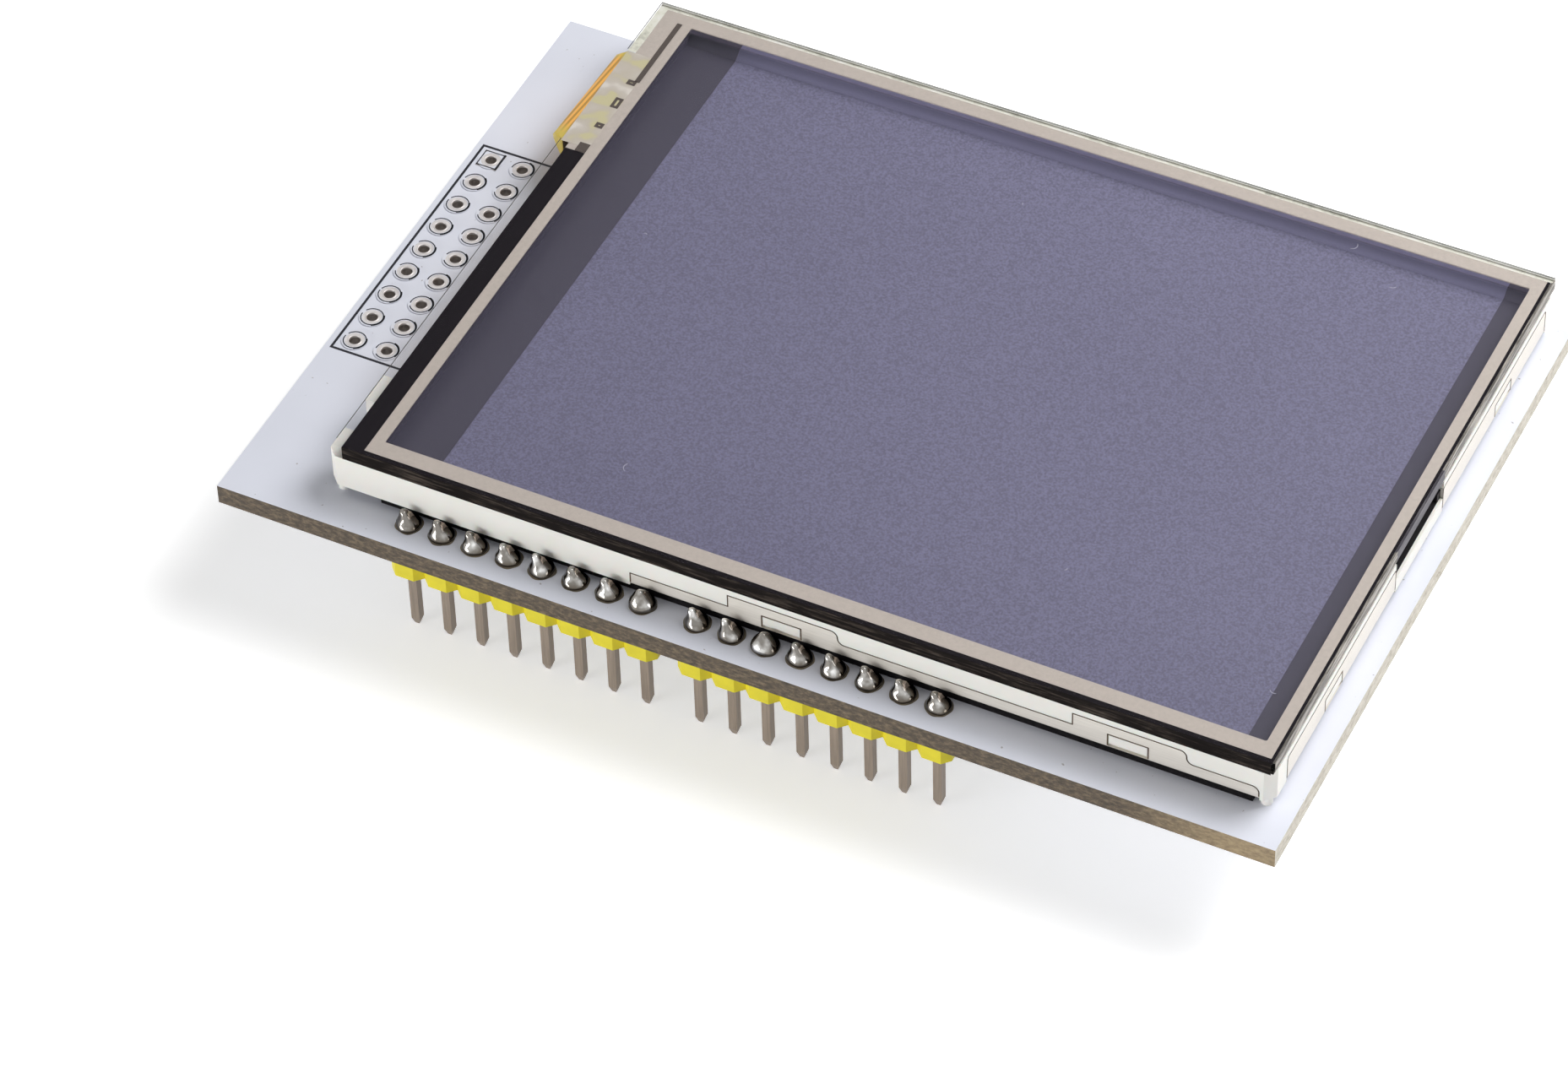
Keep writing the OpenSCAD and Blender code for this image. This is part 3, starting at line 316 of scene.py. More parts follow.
def switched_off_cell():
    """The cell's picture area: grey-blue, with a fine sparkle."""
    m = Nodes("switched_off_cell")
    grain = m.ramp(m.noise(6.5, 1.0, 0.5), (0.36, grey(0.38)), (0.64, grey(0.62)))
    picture = m.blend(m.noise(0.035, 2.0), (0.145, 0.137, 0.226), (0.169, 0.161, 0.262))
    return m.finish(m.blend(0.8, picture, grain, "OVERLAY"), 0.5, 0.0, 0.4)


def print_with_painted_light(name, colour, painted_lift):
    """Cell layer with painted light: lighter on the slope behind the cell, and lighter still under
    the touch panel's border, to offset the shadow that the border casts there.
    """
    soft = 0.12 * MM
    m = Nodes(name)
    y = m.axis("Y")
    # Painted light: the colour is raised on the slope and under the border, where the border's
    # shadow falls.
    slope = m.between(y, CELL_HI.y - 0.60 * MM, CELL_HI.y + PITCH, soft)
    under = m.between(y, CELL_HI.y + 0.10 * MM, CELL_HI.y + PITCH, soft)
    m.bump(m.noise(3.2, 3.0), 0.05)
    slope_painted_lighter = m.blend(slope, colour, tinted(colour, painted_lift ** 0.15))
    return m.finish(m.blend(under, slope_painted_lighter, tinted(colour, painted_lift)), 0.5, 0.0, 0.3)


def flexible_circuit(name, across, scale, waver, turn):
    """Amber film with copper tracks that lie side by side across one axis."""
    m = Nodes(name)
    wave = m.new("ShaderNodeTexWave", wave_type="BANDS", bands_direction=across)
    wave.inputs["Scale"].default_value = scale
    wave.inputs["Distortion"].default_value = waver
    wave.inputs["Detail Scale"].default_value = 0.4
    m.link(m.mapping((1, 1, 0.4), math.radians(turn)), wave.inputs["Vector"])
    m.coat(0.3, 0.2)
    m.bump(wave.outputs["Fac"], 0.2, 0.03 * MM)
    tracks = m.ramp(wave.outputs["Fac"],
                    (0.25, (0.84, 0.42, 0.07)), (0.60, (0.80, 0.36, 0.04)),
                    (0.74, (0.30, 0.16, 0.02)), (0.92, (0.42, 0.23, 0.03)))
    y = m.axis("Y")
    front = m.between(y, FLEX_LO.y - PITCH, FLEX_LO.y + 1.2 * MM, 0.6 * MM)
    rear = m.between(y, FLEX_HI.y - 0.7 * MM, FLEX_HI.y + PITCH, 0.4 * MM)
    bare_film = (0.56, 0.42, 0.06)
    return m.finish(m.blend(m.maths("ADD", front, rear), tracks, bare_film), 0.35)


def foam():
    """Black foam with open cells."""
    m = Nodes("foam_tape")
    cells = m.new("ShaderNodeTexVoronoi")
    cells.inputs["Scale"].default_value = 3.0
    m.link(m.mapping((1, 1, 1)), cells.inputs["Vector"])
    m.bump(cells.outputs["Distance"], 0.5, 0.05 * MM)
    shades = m.ramp(cells.outputs["Distance"],
                    (0.0, (0.003, 0.003, 0.004)), (0.8, (0.012, 0.011, 0.012)))
    return m.finish(shades, 0.95, 0.0, 0.1)


def moulded_frame():
    """White plastic that lets a little light in, with a fine spark-eroded grain."""
    m = Nodes("moulded_white")
    m.bump(m.noise(6.0, 3.0), 0.1)
    m.shader.inputs["Subsurface Weight"].default_value = 0.15
    m.shader.inputs["Subsurface Scale"].default_value = 0.4 * MM
    shades = m.ramp(m.noise(0.25, 3.0), (0.3, (0.86, 0.845, 0.79)), (0.7, (0.90, 0.885, 0.83)))
    return m.finish(shades, 0.45)


def yellowed_print():
    """The pale border where the tail is bonded: patches of amber and white show through."""
    m = Nodes("yellowed_print")
    patches = m.noise(0.42, 1.5, 0.4, (1.3, 1.5, 1.0))
    tones = m.ramp(patches, (0.38, (0.56, 0.51, 0.31)), (0.46, (0.52, 0.465, 0.39)),
                   (0.58, (0.55, 0.50, 0.44)), (0.66, (0.68, 0.63, 0.57)))
    m.bump(patches, 0.1)
    return m.finish(tones, 0.5, 0.0, 0.3)


MATERIALS = {
    # Top of the carrier board
    "circuit_board": solder_mask(),
    "expansion_eyelets": tinned_lands(),
    "insulator": mottled("yellow_insulator", (0.76, 0.66, 0.019), 0.06, 0.8, 0.45, 0.0, 6.0, 0.15),
    "pins": brushed("plated_pin", (0.30, 0.245, 0.20), "Z", 0.45, 0.15, 0.6),
    "solder": bright_solder(),
    "silkscreen": printed("silkscreen_ink", (0.018, 0.018, 0.024), 0.6, 0.2),
    "flux": mottled("flux_residue", (0.17, 0.14, 0.10), 0.5, 1.2, 0.35),
    "mask": mottled("mask_rim", (0.76, 0.78, 0.86), 0.03, 0.6, 0.45),
    "rim": mottled("plated_rim", (0.60, 0.57, 0.56), 0.1, 2.0, 0.4, 0.35),
    # Underside of the carrier board
    "socket_plastic": mottled("socket_plastic", (0.03, 0.03, 0.03), 0.2, 1.0, 0.5),
    "socket_metal": brushed("socket_shell", (0.68, 0.68, 0.67), "X", 0.28),
    "contact": brushed("gold_contact", (0.83, 0.62, 0.26), "X", 0.25),
    "package": mottled("moulded_package", (0.025, 0.025, 0.027), 0.2, 1.0, 0.6, 0.0, 7.0, 0.25),
    "lead": brushed("tinned_lead", (0.70, 0.70, 0.68), "Y", 0.3),
    "resistor": mottled("resistor_glaze", (0.02, 0.02, 0.025), 0.3, 2.0, 0.3),
    "capacitor": mottled("capacitor_ceramic", (0.42, 0.31, 0.20), 0.1, 2.0, 0.5),
    # Backlight and its case
    "foam": foam(),
    "back_cover": brushed("stamped_sheet", (0.80, 0.76, 0.69), "X", 0.42, 0.06, 0.3),
    "backlight_frame": moulded_frame(),
    "seam": printed("seam_shadow", (0.13, 0.095, 0.070), 0.7, 0.1),
    "tape": mottled("black_tape", (0.010, 0.009, 0.010), 0.3, 1.5, 0.5, specular=0.2),
    "reflector_film": mottled("reflecting_film", (0.90, 0.90, 0.90), 0.03, 0.3, 0.25),
    "light_guide": clear("clear_acrylic", (0.88, 0.93, 0.94), 0.5, 0.1),
    "diffuser_film": mottled("frosted_film", (0.86, 0.86, 0.85), 0.03, 0.5, 0.7),
    "prism_film": brushed("ribbed_film", (0.80, 0.81, 0.86), "X", 0.3, 0.05, 0.0),
    "ribbon": flexible_circuit("ribbon_circuit", "Y", 0.55, 0.0, 0),
    "backlight_leds": mottled("diode_package", (0.88, 0.84, 0.55), 0.08, 1.2, 0.4),
    # Liquid crystal cell
    "polarizer": mottled("rear_polarizer_film", (0.03, 0.03, 0.035), 0.1, 0.3, 0.4, specular=0.2),
    "front_polarizer": switched_off_cell(),
    "pane": mottled("dark_pane", (0.030, 0.026, 0.040), 0.12, 0.4, 0.3, specular=0.2),
    "driver_chip": mottled("bare_silicon", (0.05, 0.05, 0.06), 0.15, 0.8, 0.3, 0.2),
    "driver_shield": printed("shield_tape", (0.040, 0.035, 0.052), 0.5),
    # The next two layers carry painted light under the touch panel's border, offsetting its
    # shadow.
    "surround": print_with_painted_light("cell_surround", (0.054, 0.047, 0.076), 4.5),
    "back_margin": print_with_painted_light("back_margin", (0.150, 0.142, 0.236), 4.3),
    "cell_edge": streaked("cell_edge", (0.20, 0.19, 0.20), (0.62, 0.61, 0.62), (3, 0.4, 5),
                          0.3, 0.44),
    # Touch panel
    "touch_gasket": mottled("black_gasket", (0.012, 0.009, 0.007), 0.3, 1.5, 0.7, specular=0.1),
    "touch_glass": clear("touch_glass", (0.20, 0.23, 0.22), 0.02, 0.1),
    "pale_border": printed("pale_print", (0.515, 0.455, 0.408)),
    "black_border": printed("black_print", (0.006, 0.004, 0.006), 0.45, 0.06),
    "touch_film": clear("touch_film", (0.20, 0.20, 0.24), 0.02, 0.15),
    "flex": flexible_circuit("touch_circuit", "X", 0.85, 0.25, 5),
    "bond": yellowed_print(),
    "marks": printed("border_marks", (0.085, 0.068, 0.060), 0.6, 0.2),
    "margin": streaked("clear_margin", (0.46, 0.455, 0.39), (0.82, 0.81, 0.75), (0.6, 0.6, 3),
                       0.5, 0.5),
    "front_seal": streaked("front_seal", (0.006, 0.0045, 0.004), (0.070, 0.056, 0.046),
                           (0.3, 1, 4), 0.6, 0.52, 0.05),
    "right_seal": streaked("right_seal", (0.085, 0.076, 0.066), (0.50, 0.46, 0.41), (4, 0.3, 4),
                           0.4, 0.47),
    "notch_seal": streaked("notch_seal", (0.035, 0.030, 0.038), (0.13, 0.12, 0.13), (3, 0.3, 5),
                           0.4, 0.5),
    "arris": streaked("ground_arris", (0.20, 0.20, 0.185), (0.50, 0.49, 0.45), (0.3, 2, 2), 0.5),
    "dark_arris": printed("dark_arris", (0.06, 0.06, 0.055), 0.5, 0.2),
    "fibre": printed("pale_fibre", (0.40, 0.39, 0.48), 0.7),
}

# Which material each CAD node takes; nodes that aren't here take the one of their own name
SHARED = {
    "insulator": ["front_header_left", "front_header_right",
                  "back_header_left", "back_header_right"],
    "pins": ["front_pins_left", "front_pins_right", "back_pins_left", "back_pins_right"],
    "solder": ["front_solder_left", "front_solder_right",
               "back_solder_left", "back_solder_right"],
    "foam": ["mounting_tape_front", "mounting_tape_back"],
    "flex": ["touch_flex"],
    "ribbon": ["led_strip", "display_flex"],
    "polarizer": ["rear_polarizer"],
    "pane": ["lcd_rear_glass", "lcd_front_glass"],
    "socket_plastic": ["card_socket_base"],
    "socket_metal": ["card_socket_shell"],
    "contact": ["card_socket_contacts"],
    "package": ["logic_chip_left", "logic_chip_right", "regulator_body"],
    "lead": ["logic_leads_left", "logic_leads_right", "regulator_leads",
             "resistor_ends", "capacitor_ends"],
    "resistor": ["chip_resistors"],
    "capacitor": ["chip_capacitors"],
}


def dress_frame():
    """Gives every CAD node its material."""
    chosen = {node: key for key, nodes in SHARED.items() for node in nodes}
    for name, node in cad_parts.items():
        for slot in node.material_slots:
            slot.link = "OBJECT"
            slot.material = MATERIALS[chosen.get(name, name)]


# ------------------------------------------------------------------ shapes

def circle(centre, radius, z, sides=40):
    """Points of a level circle."""
    return [Vector((centre[0] + radius * math.cos(t), centre[1] + radius * math.sin(t), z))
            for t in (math.tau * k / sides for k in range(sides))]


class Shape:
    """Faces gathered for one piece, in metres in the shared frame."""

    def __init__(self):
        self.points = []
        self.faces = []

    def skin(self, rows):
        """Skins closed rings of points, one to the next, and leaves both ends open."""
        start = len(self.points)
        width = len(rows[0])
        for row in rows:
            self.points.extend(row)
        for i in range(len(rows) - 1):
            a = start + i * width
            for j in range(width):
                k = (j + 1) % width
                self.faces.append((a + j, a + k, a + width + k, a + width + j))

    def cap(self, row, flip=False):
        start = len(self.points)
        self.points.extend(row)
        face = tuple(range(start, start + len(row)))
        self.faces.append(face[::-1] if flip else face)

    def body(self, rows, flip=False):
        """Solid skinned over rings of points, with a face on each end."""
        self.skin(rows)
        self.cap(rows[0], flip)
        self.cap(rows[-1], not flip)

    def prism(self, outline, low, high):
        """Upright block on a plan outline that runs anticlockwise."""
        self.body([[Vector((x, y, z)) for x, y in outline] for z in (low, high)], True)

    def block(self, lo, hi):
        self.prism([(lo[0], lo[1]), (hi[0], lo[1]), (hi[0], hi[1]), (lo[0], hi[1])],
                   lo[2], hi[2])

    def hollow_square(self, x0, y0, x1, y1, line, low, high):
        """Flat line of one width along the inside of a rectangle."""
        self.block((x0, y0, low), (x1, y0 + line, high))
        self.block((x0, y1 - line, low), (x1, y1, high))
        self.block((x0, y0 + line, low), (x0 + line, y1 - line, high))
        self.block((x1 - line, y0 + line, low), (x1, y1 - line, high))

    def arc(self, centre, inner, outer, low, high, start=0.0, sweep=math.tau, steps=40):
        """Flat band round a centre, from start through sweep."""
        turns = [start + sweep * i / steps for i in range(steps + 1)]
        rim = [(centre[0] + outer * math.cos(t), centre[1] + outer * math.sin(t)) for t in turns]
        bore = [(centre[0] + inner * math.cos(t), centre[1] + inner * math.sin(t)) for t in turns]
        for i in range(steps):
            self.prism([bore[i], rim[i], rim[i + 1], bore[i + 1]], low, high)

    def tube(self, path, radius, sides=8, tip=0.35):
        """Round thread along a path, thinned at its two ends."""
        last = len(path) - 1
        rows = []
        for i, point in enumerate(path):
            ahead = path[min(i + 1, last)] - path[max(i - 1, 0)]
            side = ahead.cross(Vector((0, 0, 1))).normalized()
            over = side.cross(ahead).normalized()
            r = radius * (tip if i in (0, last) else 1.0)
            rows.append([point + (side * math.cos(t) + over * math.sin(t)) * r
                         for t in (math.tau * k / sides for k in range(sides))])
        self.body(rows)

    def piece(self, name, material, slot, replaces=(), smooth=False):
        """Makes the gathered faces one piece of the visual model."""
        mesh = bpy.data.meshes.new(name)
        mesh.from_pydata(self.points, [], self.faces)
        mesh.update()
        if smooth:
            mesh.polygons.foreach_set("use_smooth", [True] * len(mesh.polygons))
        mesh.materials.append(MATERIALS[material])
        made = bpy.data.objects.new(name, mesh)
        bpy.context.scene.collection.objects.link(made)
        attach(made, BODY)
        if replaces:
            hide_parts(*replaces)


# ------------------------------------------------------------------ carrier board

RING_R, RING_LINE = LAND_R - 0.06 * MM, 0.075 * MM
RING_LOW, RING_HIGH = LANDS_HI.z + INK_T, LANDS_HI.z + 2 * INK_T


def land_centres():
    """The expansion holes, with the column and the row they stand in."""
    for column in range(LAND_COLUMNS):
        for row in range(LAND_ROWS):
            yield column, row, (LANDS_LO.x + LAND_R + column * PITCH,
                                LANDS_LO.y + LAND_R + row * PITCH)


def square_ring(shape, centre):
    """Square printed round a land, heavy on its right side."""
    corners = [(-RING_R, -RING_R), (RING_R, -RING_R), (RING_R, RING_R), (-RING_R, RING_R)]
    right_side = 1
    for i, (x, y) in enumerate(corners):
        u, v = corners[(i + 1) % 4]
        half = RING_LINE * (1.1 if i == right_side else 0.5)
        shape.block((centre[0] + min(x, u) - half, centre[1] + min(y, v) - half, RING_LOW),
                    (centre[0] + max(x, u) + half, centre[1] + max(y, v) + half, RING_HIGH))


def round_ring(shape, centre, heading, chance):
    """Ring printed round a land: heavy near the heading, with a gap across from it."""
    stretch, stretch_steps = math.radians(100), 14
    gap = math.radians(chance.uniform(5, 25))
    heavy = math.radians(heading + chance.uniform(-12, 12))
    shape.arc(centre, RING_R, RING_R + RING_LINE, RING_LOW, RING_HIGH,
              heavy + math.pi + gap, math.tau - 2 * gap)
    shape.arc(centre, RING_R, RING_R + 2 * RING_LINE, RING_LOW, RING_HIGH,
              heavy - stretch / 2, stretch, stretch_steps)


def build_silkscreen():
    """Outline round the expansion holes, and a ring round each land with one heavy side."""
    apart, under_display, line = 0.475 * MM, 1.7 * MM, 0.18 * MM
    chance = random.Random(4)
    shape = Shape()
    shape.hollow_square(LANDS_LO.x - apart, LANDS_LO.y - apart,
                        LANDS_HI.x + under_display, LANDS_HI.y + apart,
                        line, DECK, DECK + INK_T)
    for column, row, centre in land_centres():
        if (column, row) == (0, LAND_ROWS - 1):
            square_ring(shape, centre)
        else:
            round_ring(shape, centre, 20 if column else -10, chance)
    shape.piece("silkscreen", "silkscreen", "board")


# Radius of a plated hole's rounded mouth and height over the land, in mm
MOUTH = ((0.52, 0.0), (0.49, 0.03), (0.45, 0.03), (0.41, 0.0), (0.40, -0.08), (0.46, -0.2))


def build_land_rims():
    """The mask that laps over each land's edge, and the rounded mouth of each plated hole."""
    top = LANDS_HI.z
    inner, outer = LAND_R - 0.11 * MM, LAND_R + 0.12 * MM
    mask, mouth = Shape(), Shape()
    for _, _, centre in land_centres():
        mask.arc(centre, inner, outer, top, top + INK_T)
        mouth.skin([circle(centre, r * MM, top + z * MM) for r, z in MOUTH])
    mask.piece("mask_rims", "mask", "board")
    mouth.piece("hole_mouths", "rim", "land", smooth=True)


# Radius and height of a solder joint in mm, from foot to tip: most are cones, two are fuller
CONE = ((0.85, 0.0), (0.89, 0.09), (0.88, 0.20), (0.82, 0.33), (0.72, 0.47), (0.61, 0.61),
        (0.52, 0.75), (0.45, 0.88), (0.39, 1.01), (0.33, 1.13), (0.26, 1.24), (0.16, 1.33),
        (0.03, 1.38))
DOME = ((0.92, 0.0), (0.97, 0.12), (0.96, 0.26), (0.90, 0.42), (0.80, 0.59), (0.68, 0.75),
        (0.56, 0.90), (0.45, 1.03), (0.34, 1.15), (0.24, 1.25), (0.14, 1.33), (0.03, 1.37))
DOMED_JOINTS = (7, 10)  # counted from 0 at the left


def joint_centres():
    """The front row of soldered pins, from left to right."""
    for node in ("front_solder_left", "front_solder_right"):
        lo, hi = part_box(node)
        radius = (hi.y - lo.y) / 2
        for i in range(STRIP_PINS):
            yield Vector((lo.x + radius + i * PITCH, (lo.y + hi.y) / 2, DECK))


def joint_rows(centre, domed, chance):
    """Rings of one joint: a full skirt, hollow flanks, and a tip that leans to the left."""
    full_height, bend, lumpiness, sides = 1.4, 1.4, 0.10, 32
    top = chance.uniform(0.93, 1.06)
    lean = Vector((-0.34, -0.10)) * chance.uniform(0.75, 1.3) * (0.5 if domed else 1.0)
    seed = Vector((chance.uniform(0, 40), chance.uniform(0, 40), 0))
    rows = []
    for radius, height in DOME if domed else CONE:
        z = height * top
        drift = lean * (height / full_height) ** bend
        row = []
        for k in range(sides):
            t = math.tau * k / sides
            lumps = noise.noise(seed + Vector((math.cos(t), math.sin(t), z * 1.3)))
            r = radius * (1 + lumpiness * lumps)
            row.append(centre + Vector((drift.x + r * math.cos(t),
                                        drift.y + r * math.sin(t), z)) * MM)
        rows.append(row)
    return rows


def flux_outline(centre, seed):
    """Uneven rim of the flux that ran out round a joint."""
    radius, ripple, sides = 0.98, 0.09, 36
    rim = []
    for k in range(sides):
        t = math.tau * k / sides
        bulge = noise.noise(seed + Vector((math.cos(t), math.sin(t), 0)) * 1.5)
        r = (radius + ripple * bulge) * MM
        rim.append((centre.x + r * math.cos(t), centre.y + r * math.sin(t)))
    return rim


def build_joints():
    """The sixteen hand-soldered joints, each with its ring of flux."""
    chance = random.Random(11)
    joints, flux = Shape(), Shape()
    for i, centre in enumerate(joint_centres()):
        joints.body(joint_rows(centre, i in DOMED_JOINTS, chance), True)
        flux.prism(flux_outline(centre, Vector((i * 3.7, 1.3, 0))), DECK, DECK + INK_T)
    joints.piece("front_joints", "solder", "solder",
                 ("front_solder_left", "front_solder_right"), smooth=True)
    flux.piece("flux_rings", "flux", "solder")


# ------------------------------------------------------------------ touch panel

TAIL_GAP = 0.1 * MM  # between the tail and the layers beside it
BOND_Z = FILM_LO.z + 0.004 * MM
MARKS_Z = BOND_Z + 0.012 * MM


def build_bond_cover():
    """The film's pale print over the bonded tail."""
    cover = Shape()
    cover.block((GLASS_LO.x + 0.02 * MM, FLEX_LO.y - 0.15 * MM, BOND_Z),
                (BLACK_LO.x + 1.56 * MM, FLEX_HI.y + 0.05 * MM, BOND_Z + PRINT_T))
    cover.piece("bond_cover", "bond", "pale_print")


def build_border_marks():
    """Test marks in the pale border: three hollow squares, a long line and a short bar."""
    low, high = MARKS_Z, MARKS_Z + PRINT_T
    left, back, line = BLACK_LO.x + 0.85 * MM, PALE_HI.y, 0.23 * MM
    marks = Shape()
    for x, y, width, depth in ((left, back - 13.4 * MM, 0.62 * MM, 0.55 * MM),
                               (left + 0.05 * MM, back - 11.05 * MM, 0.62 * MM, 1.10 * MM),
                               (left, back - 8.4 * MM, 0.68 * MM, 0.52 * MM)):
        marks.hollow_square(x, y, x + width, y + depth, line, low, high)
    marks.block((left + 0.46 * MM, back - 7.95 * MM, low),
                (left + 0.86 * MM, back - 1.05 * MM, high))
    marks.block((left - 0.12 * MM, BLACK_LO.y + 32.9 * MM, low),
                (left + 0.70 * MM, BLACK_LO.y + 33.85 * MM, high))
    marks.piece("border_marks", "marks", "black_print")


def build_seals():
    """Sealant on the touch panel's front and right edges, darker over the notch."""
    thickness = 0.02 * MM
    front, right, notch = Shape(), Shape(), Shape()
    front.block((GLASS_LO.x + 0.65 * MM, GLASS_LO.y - thickness, GASKET_LO.z),
                (GLASS_HI.x - 0.25 * MM, GLASS_LO.y, FILM_LO.z + 0.03 * MM))
    for shape, start, stop in ((right, GLASS_LO.y + 0.1 * MM, NOTCH_FRONT),
                               (notch, NOTCH_FRONT, NOTCH_BACK),
                               (right, NOTCH_BACK, GLASS_HI.y)):
        shape.block((GLASS_HI.x, start, GLASS_LO.z),
                    (GLASS_HI.x + thickness, stop, FILM_LO.z + 0.12 * MM))
        shape.block((BLACK_HI.x + 0.02 * MM, start, FILM_LO.z - 0.02 * MM),
                    (GLASS_HI.x - 0.01 * MM, stop, FILM_LO.z - 0.01 * MM))
    front.piece("front_seal", "front_seal", "gasket")
    right.piece("right_seal", "right_seal", "touch_glass")
    notch.piece("notch_seal", "notch_seal", "touch_glass")


def build_arrises():
    """The touch panel's cut edges at the back and the left, just under the film's face."""
    low, high = FILM_HI.z - 0.03 * MM, FILM_HI.z - 0.01 * MM
    back_width, left_width = 0.16 * MM, 0.05 * MM
    back, left = Shape(), Shape()
    back.block((GLASS_LO.x, GLASS_HI.y - back_width, low), (GLASS_HI.x, GLASS_HI.y, high))
    for start, stop in ((GLASS_LO.y + 0.5 * MM, FLEX_LO.y - TAIL_GAP),
                        (FLEX_HI.y + TAIL_GAP, GLASS_HI.y)):
        left.block((GLASS_LO.x, start, low), (GLASS_LO.x + left_width, stop, high))
    back.piece("back_arris", "arris", "touch_glass")
    left.piece("left_arris", "dark_arris", "touch_glass")


def build_clear_margin():
    """Unprinted film along the back edge and at the left behind the tail."""
    inset = 0.02 * MM
    left, low = GLASS_LO.x + inset, FILM_LO.z + 0.01 * MM
    margin = Shape()
    margin.block((left, PALE_HI.y, low),
                 (BLACK_HI.x + 0.15 * MM, GLASS_HI.y - inset, low + PRINT_T))
    margin.block((left, FLEX_HI.y + TAIL_GAP, low), (PALE_LO.x, PALE_HI.y, low + PRINT_T))
    margin.piece("clear_margin", "margin", "touch_glass")


# ------------------------------------------------------------------ cell and backlight

def margin_step(shape, start, stop):
    """Strip along the back of the cell that climbs over the gasket's inner edge."""
    low, high = CELL_HI.z + INK_T, GASKET_HI.z + INK_T
    run = [(CELL_HI.y - 0.70 * MM, low), (CELL_HI.y + 0.03 * MM, high),
           (CELL_HI.y + 0.90 * MM, high)]
    line = run + [(y, z - INK_T) for y, z in reversed(run)]
    shape.body([[Vector((x, y, z)) for y, z in line] for x in (start, stop)])


def build_surround():
    """The dark surround at the cell's sides, and the bluish margin behind the picture, both with
    painted light under the touch panel's border to offset its shadow.
    """
    inset = 0.05 * MM
    low, front = CELL_HI.z + 0.01 * MM, PANE_LO.y + inset
    sides = Shape()
    for x0, x1 in ((PANE_LO.x + inset, ACTIVE_LEFT), (ACTIVE_RIGHT, PANE_HI.x - inset)):
        sides.block((x0, front, low), (x1, CELL_HI.y - 0.7 * MM, low + INK_T))
        margin_step(sides, x0, x1)
    lip, lip_t, lip_reach = WINDOW_LEFT - 0.17 * MM, 0.03 * MM, 0.80 * MM
    lip_top = GASKET_HI.z + INK_T  # the lip hides the gasket's inner edge
    sides.block((lip - lip_t, front, low), (lip, CELL_HI.y, lip_top))
    sides.block((lip - lip_reach, front, GASKET_HI.z + 0.005 * MM),
                (lip - lip_t, CELL_HI.y, lip_top))
    sides.piece("cell_surround", "surround", "polarizer")
    margin = Shape()
    margin_step(margin, ACTIVE_LEFT, ACTIVE_RIGHT)
    margin.piece("back_margin", "back_margin", "gasket")


# The tail's run from under the film, round its bow, to under the display:
# distance in from the glass's left edge and height over the board, in mm
TAIL_RUN = ((0.55, 4.45), (0.25, 4.45), (0.0, 4.44), (-0.48, 4.43), (-0.82, 4.34),
            (-0.95, 4.15), (-0.95, 3.85), (-0.80, 3.40), (-0.54, 2.90), (-0.26, 2.40),
            (0.02, 1.85), (0.22, 1.30), (0.42, 0.80), (0.70, 0.40), (1.10, 0.16),
            (1.60, 0.07), (2.60, 0.06), (4.40, 0.06))


def sheet_section(line, half):
    """Outline of a sheet that follows a line in X and Z, half its thickness to each side."""
    last = len(line) - 1
    outer, inner = [], []
    for k, point in enumerate(line):
        ahead = line[min(k + 1, last)] - line[max(k - 1, 0)]
        across = Vector((ahead.z, 0, -ahead.x)).normalized() * half
        outer.append(point + across)
        inner.append(point - across)
    return outer + inner[::-1]


def build_tail():
    """The touch panel's tail: bowed out most near its front, and drawn in at its two edges."""
    sections, half = 40, 0.05 * MM
    drawn_in, slack_lost = 0.05, 0.36  # shares of the tail's width and of its bow
    rows = []
    for i in range(sections + 1):
        share = i / sections
        closed = min(1.0, share / drawn_in, (1 - share) / drawn_in) ** 0.5
        swell = closed * (1.0 - slack_lost * share)
        y = FLEX_LO.y + (FLEX_HI.y - FLEX_LO.y) * share
        line = [Vector((GLASS_LO.x + (x * swell if x < 0 else x) * MM, y, DECK + z * MM))
                for x, z in TAIL_RUN]
        rows.append(sheet_section(line, half))
    tail = Shape()
    tail.body(rows)
    tail.piece("touch_tail", "flex", "flex", ("touch_flex",))


def build_notch_tape():
    """Black tape in the notch of the right wall, with the cell's bright glass edge above it."""
    tape_t, sheet = 0.08 * MM, 0.05 * MM
    fold_h, front_fold, back_fold = 0.75 * MM, 0.8 * MM, 0.6 * MM
    inside, outside = PANE_HI.x, FRAME_HI.x - 0.2 * MM
    face, floor = inside + tape_t, NOTCH_FLOOR + sheet
    tape = Shape()
    tape.block((inside, NOTCH_FRONT, NOTCH_FLOOR), (face, NOTCH_BACK, GASKET_LO.z))
    tape.block((face, NOTCH_FRONT, NOTCH_FLOOR), (outside, NOTCH_BACK, floor))
    for start, stop in ((NOTCH_FRONT, NOTCH_FRONT + front_fold),
                        (NOTCH_BACK - back_fold, NOTCH_BACK)):
        tape.block((face, start, floor), (outside, stop, NOTCH_FLOOR + fold_h))
    tape.piece("notch_tape", "tape", "gasket")
    edge = Shape()
    edge.block((face, NOTCH_FRONT + front_fold, GASKET_LO.z - 0.55 * MM),
               (inside + 0.55 * MM, NOTCH_BACK - back_fold, GASKET_LO.z - 0.35 * MM))
    edge.piece("cell_edge", "cell_edge", "polarizer")


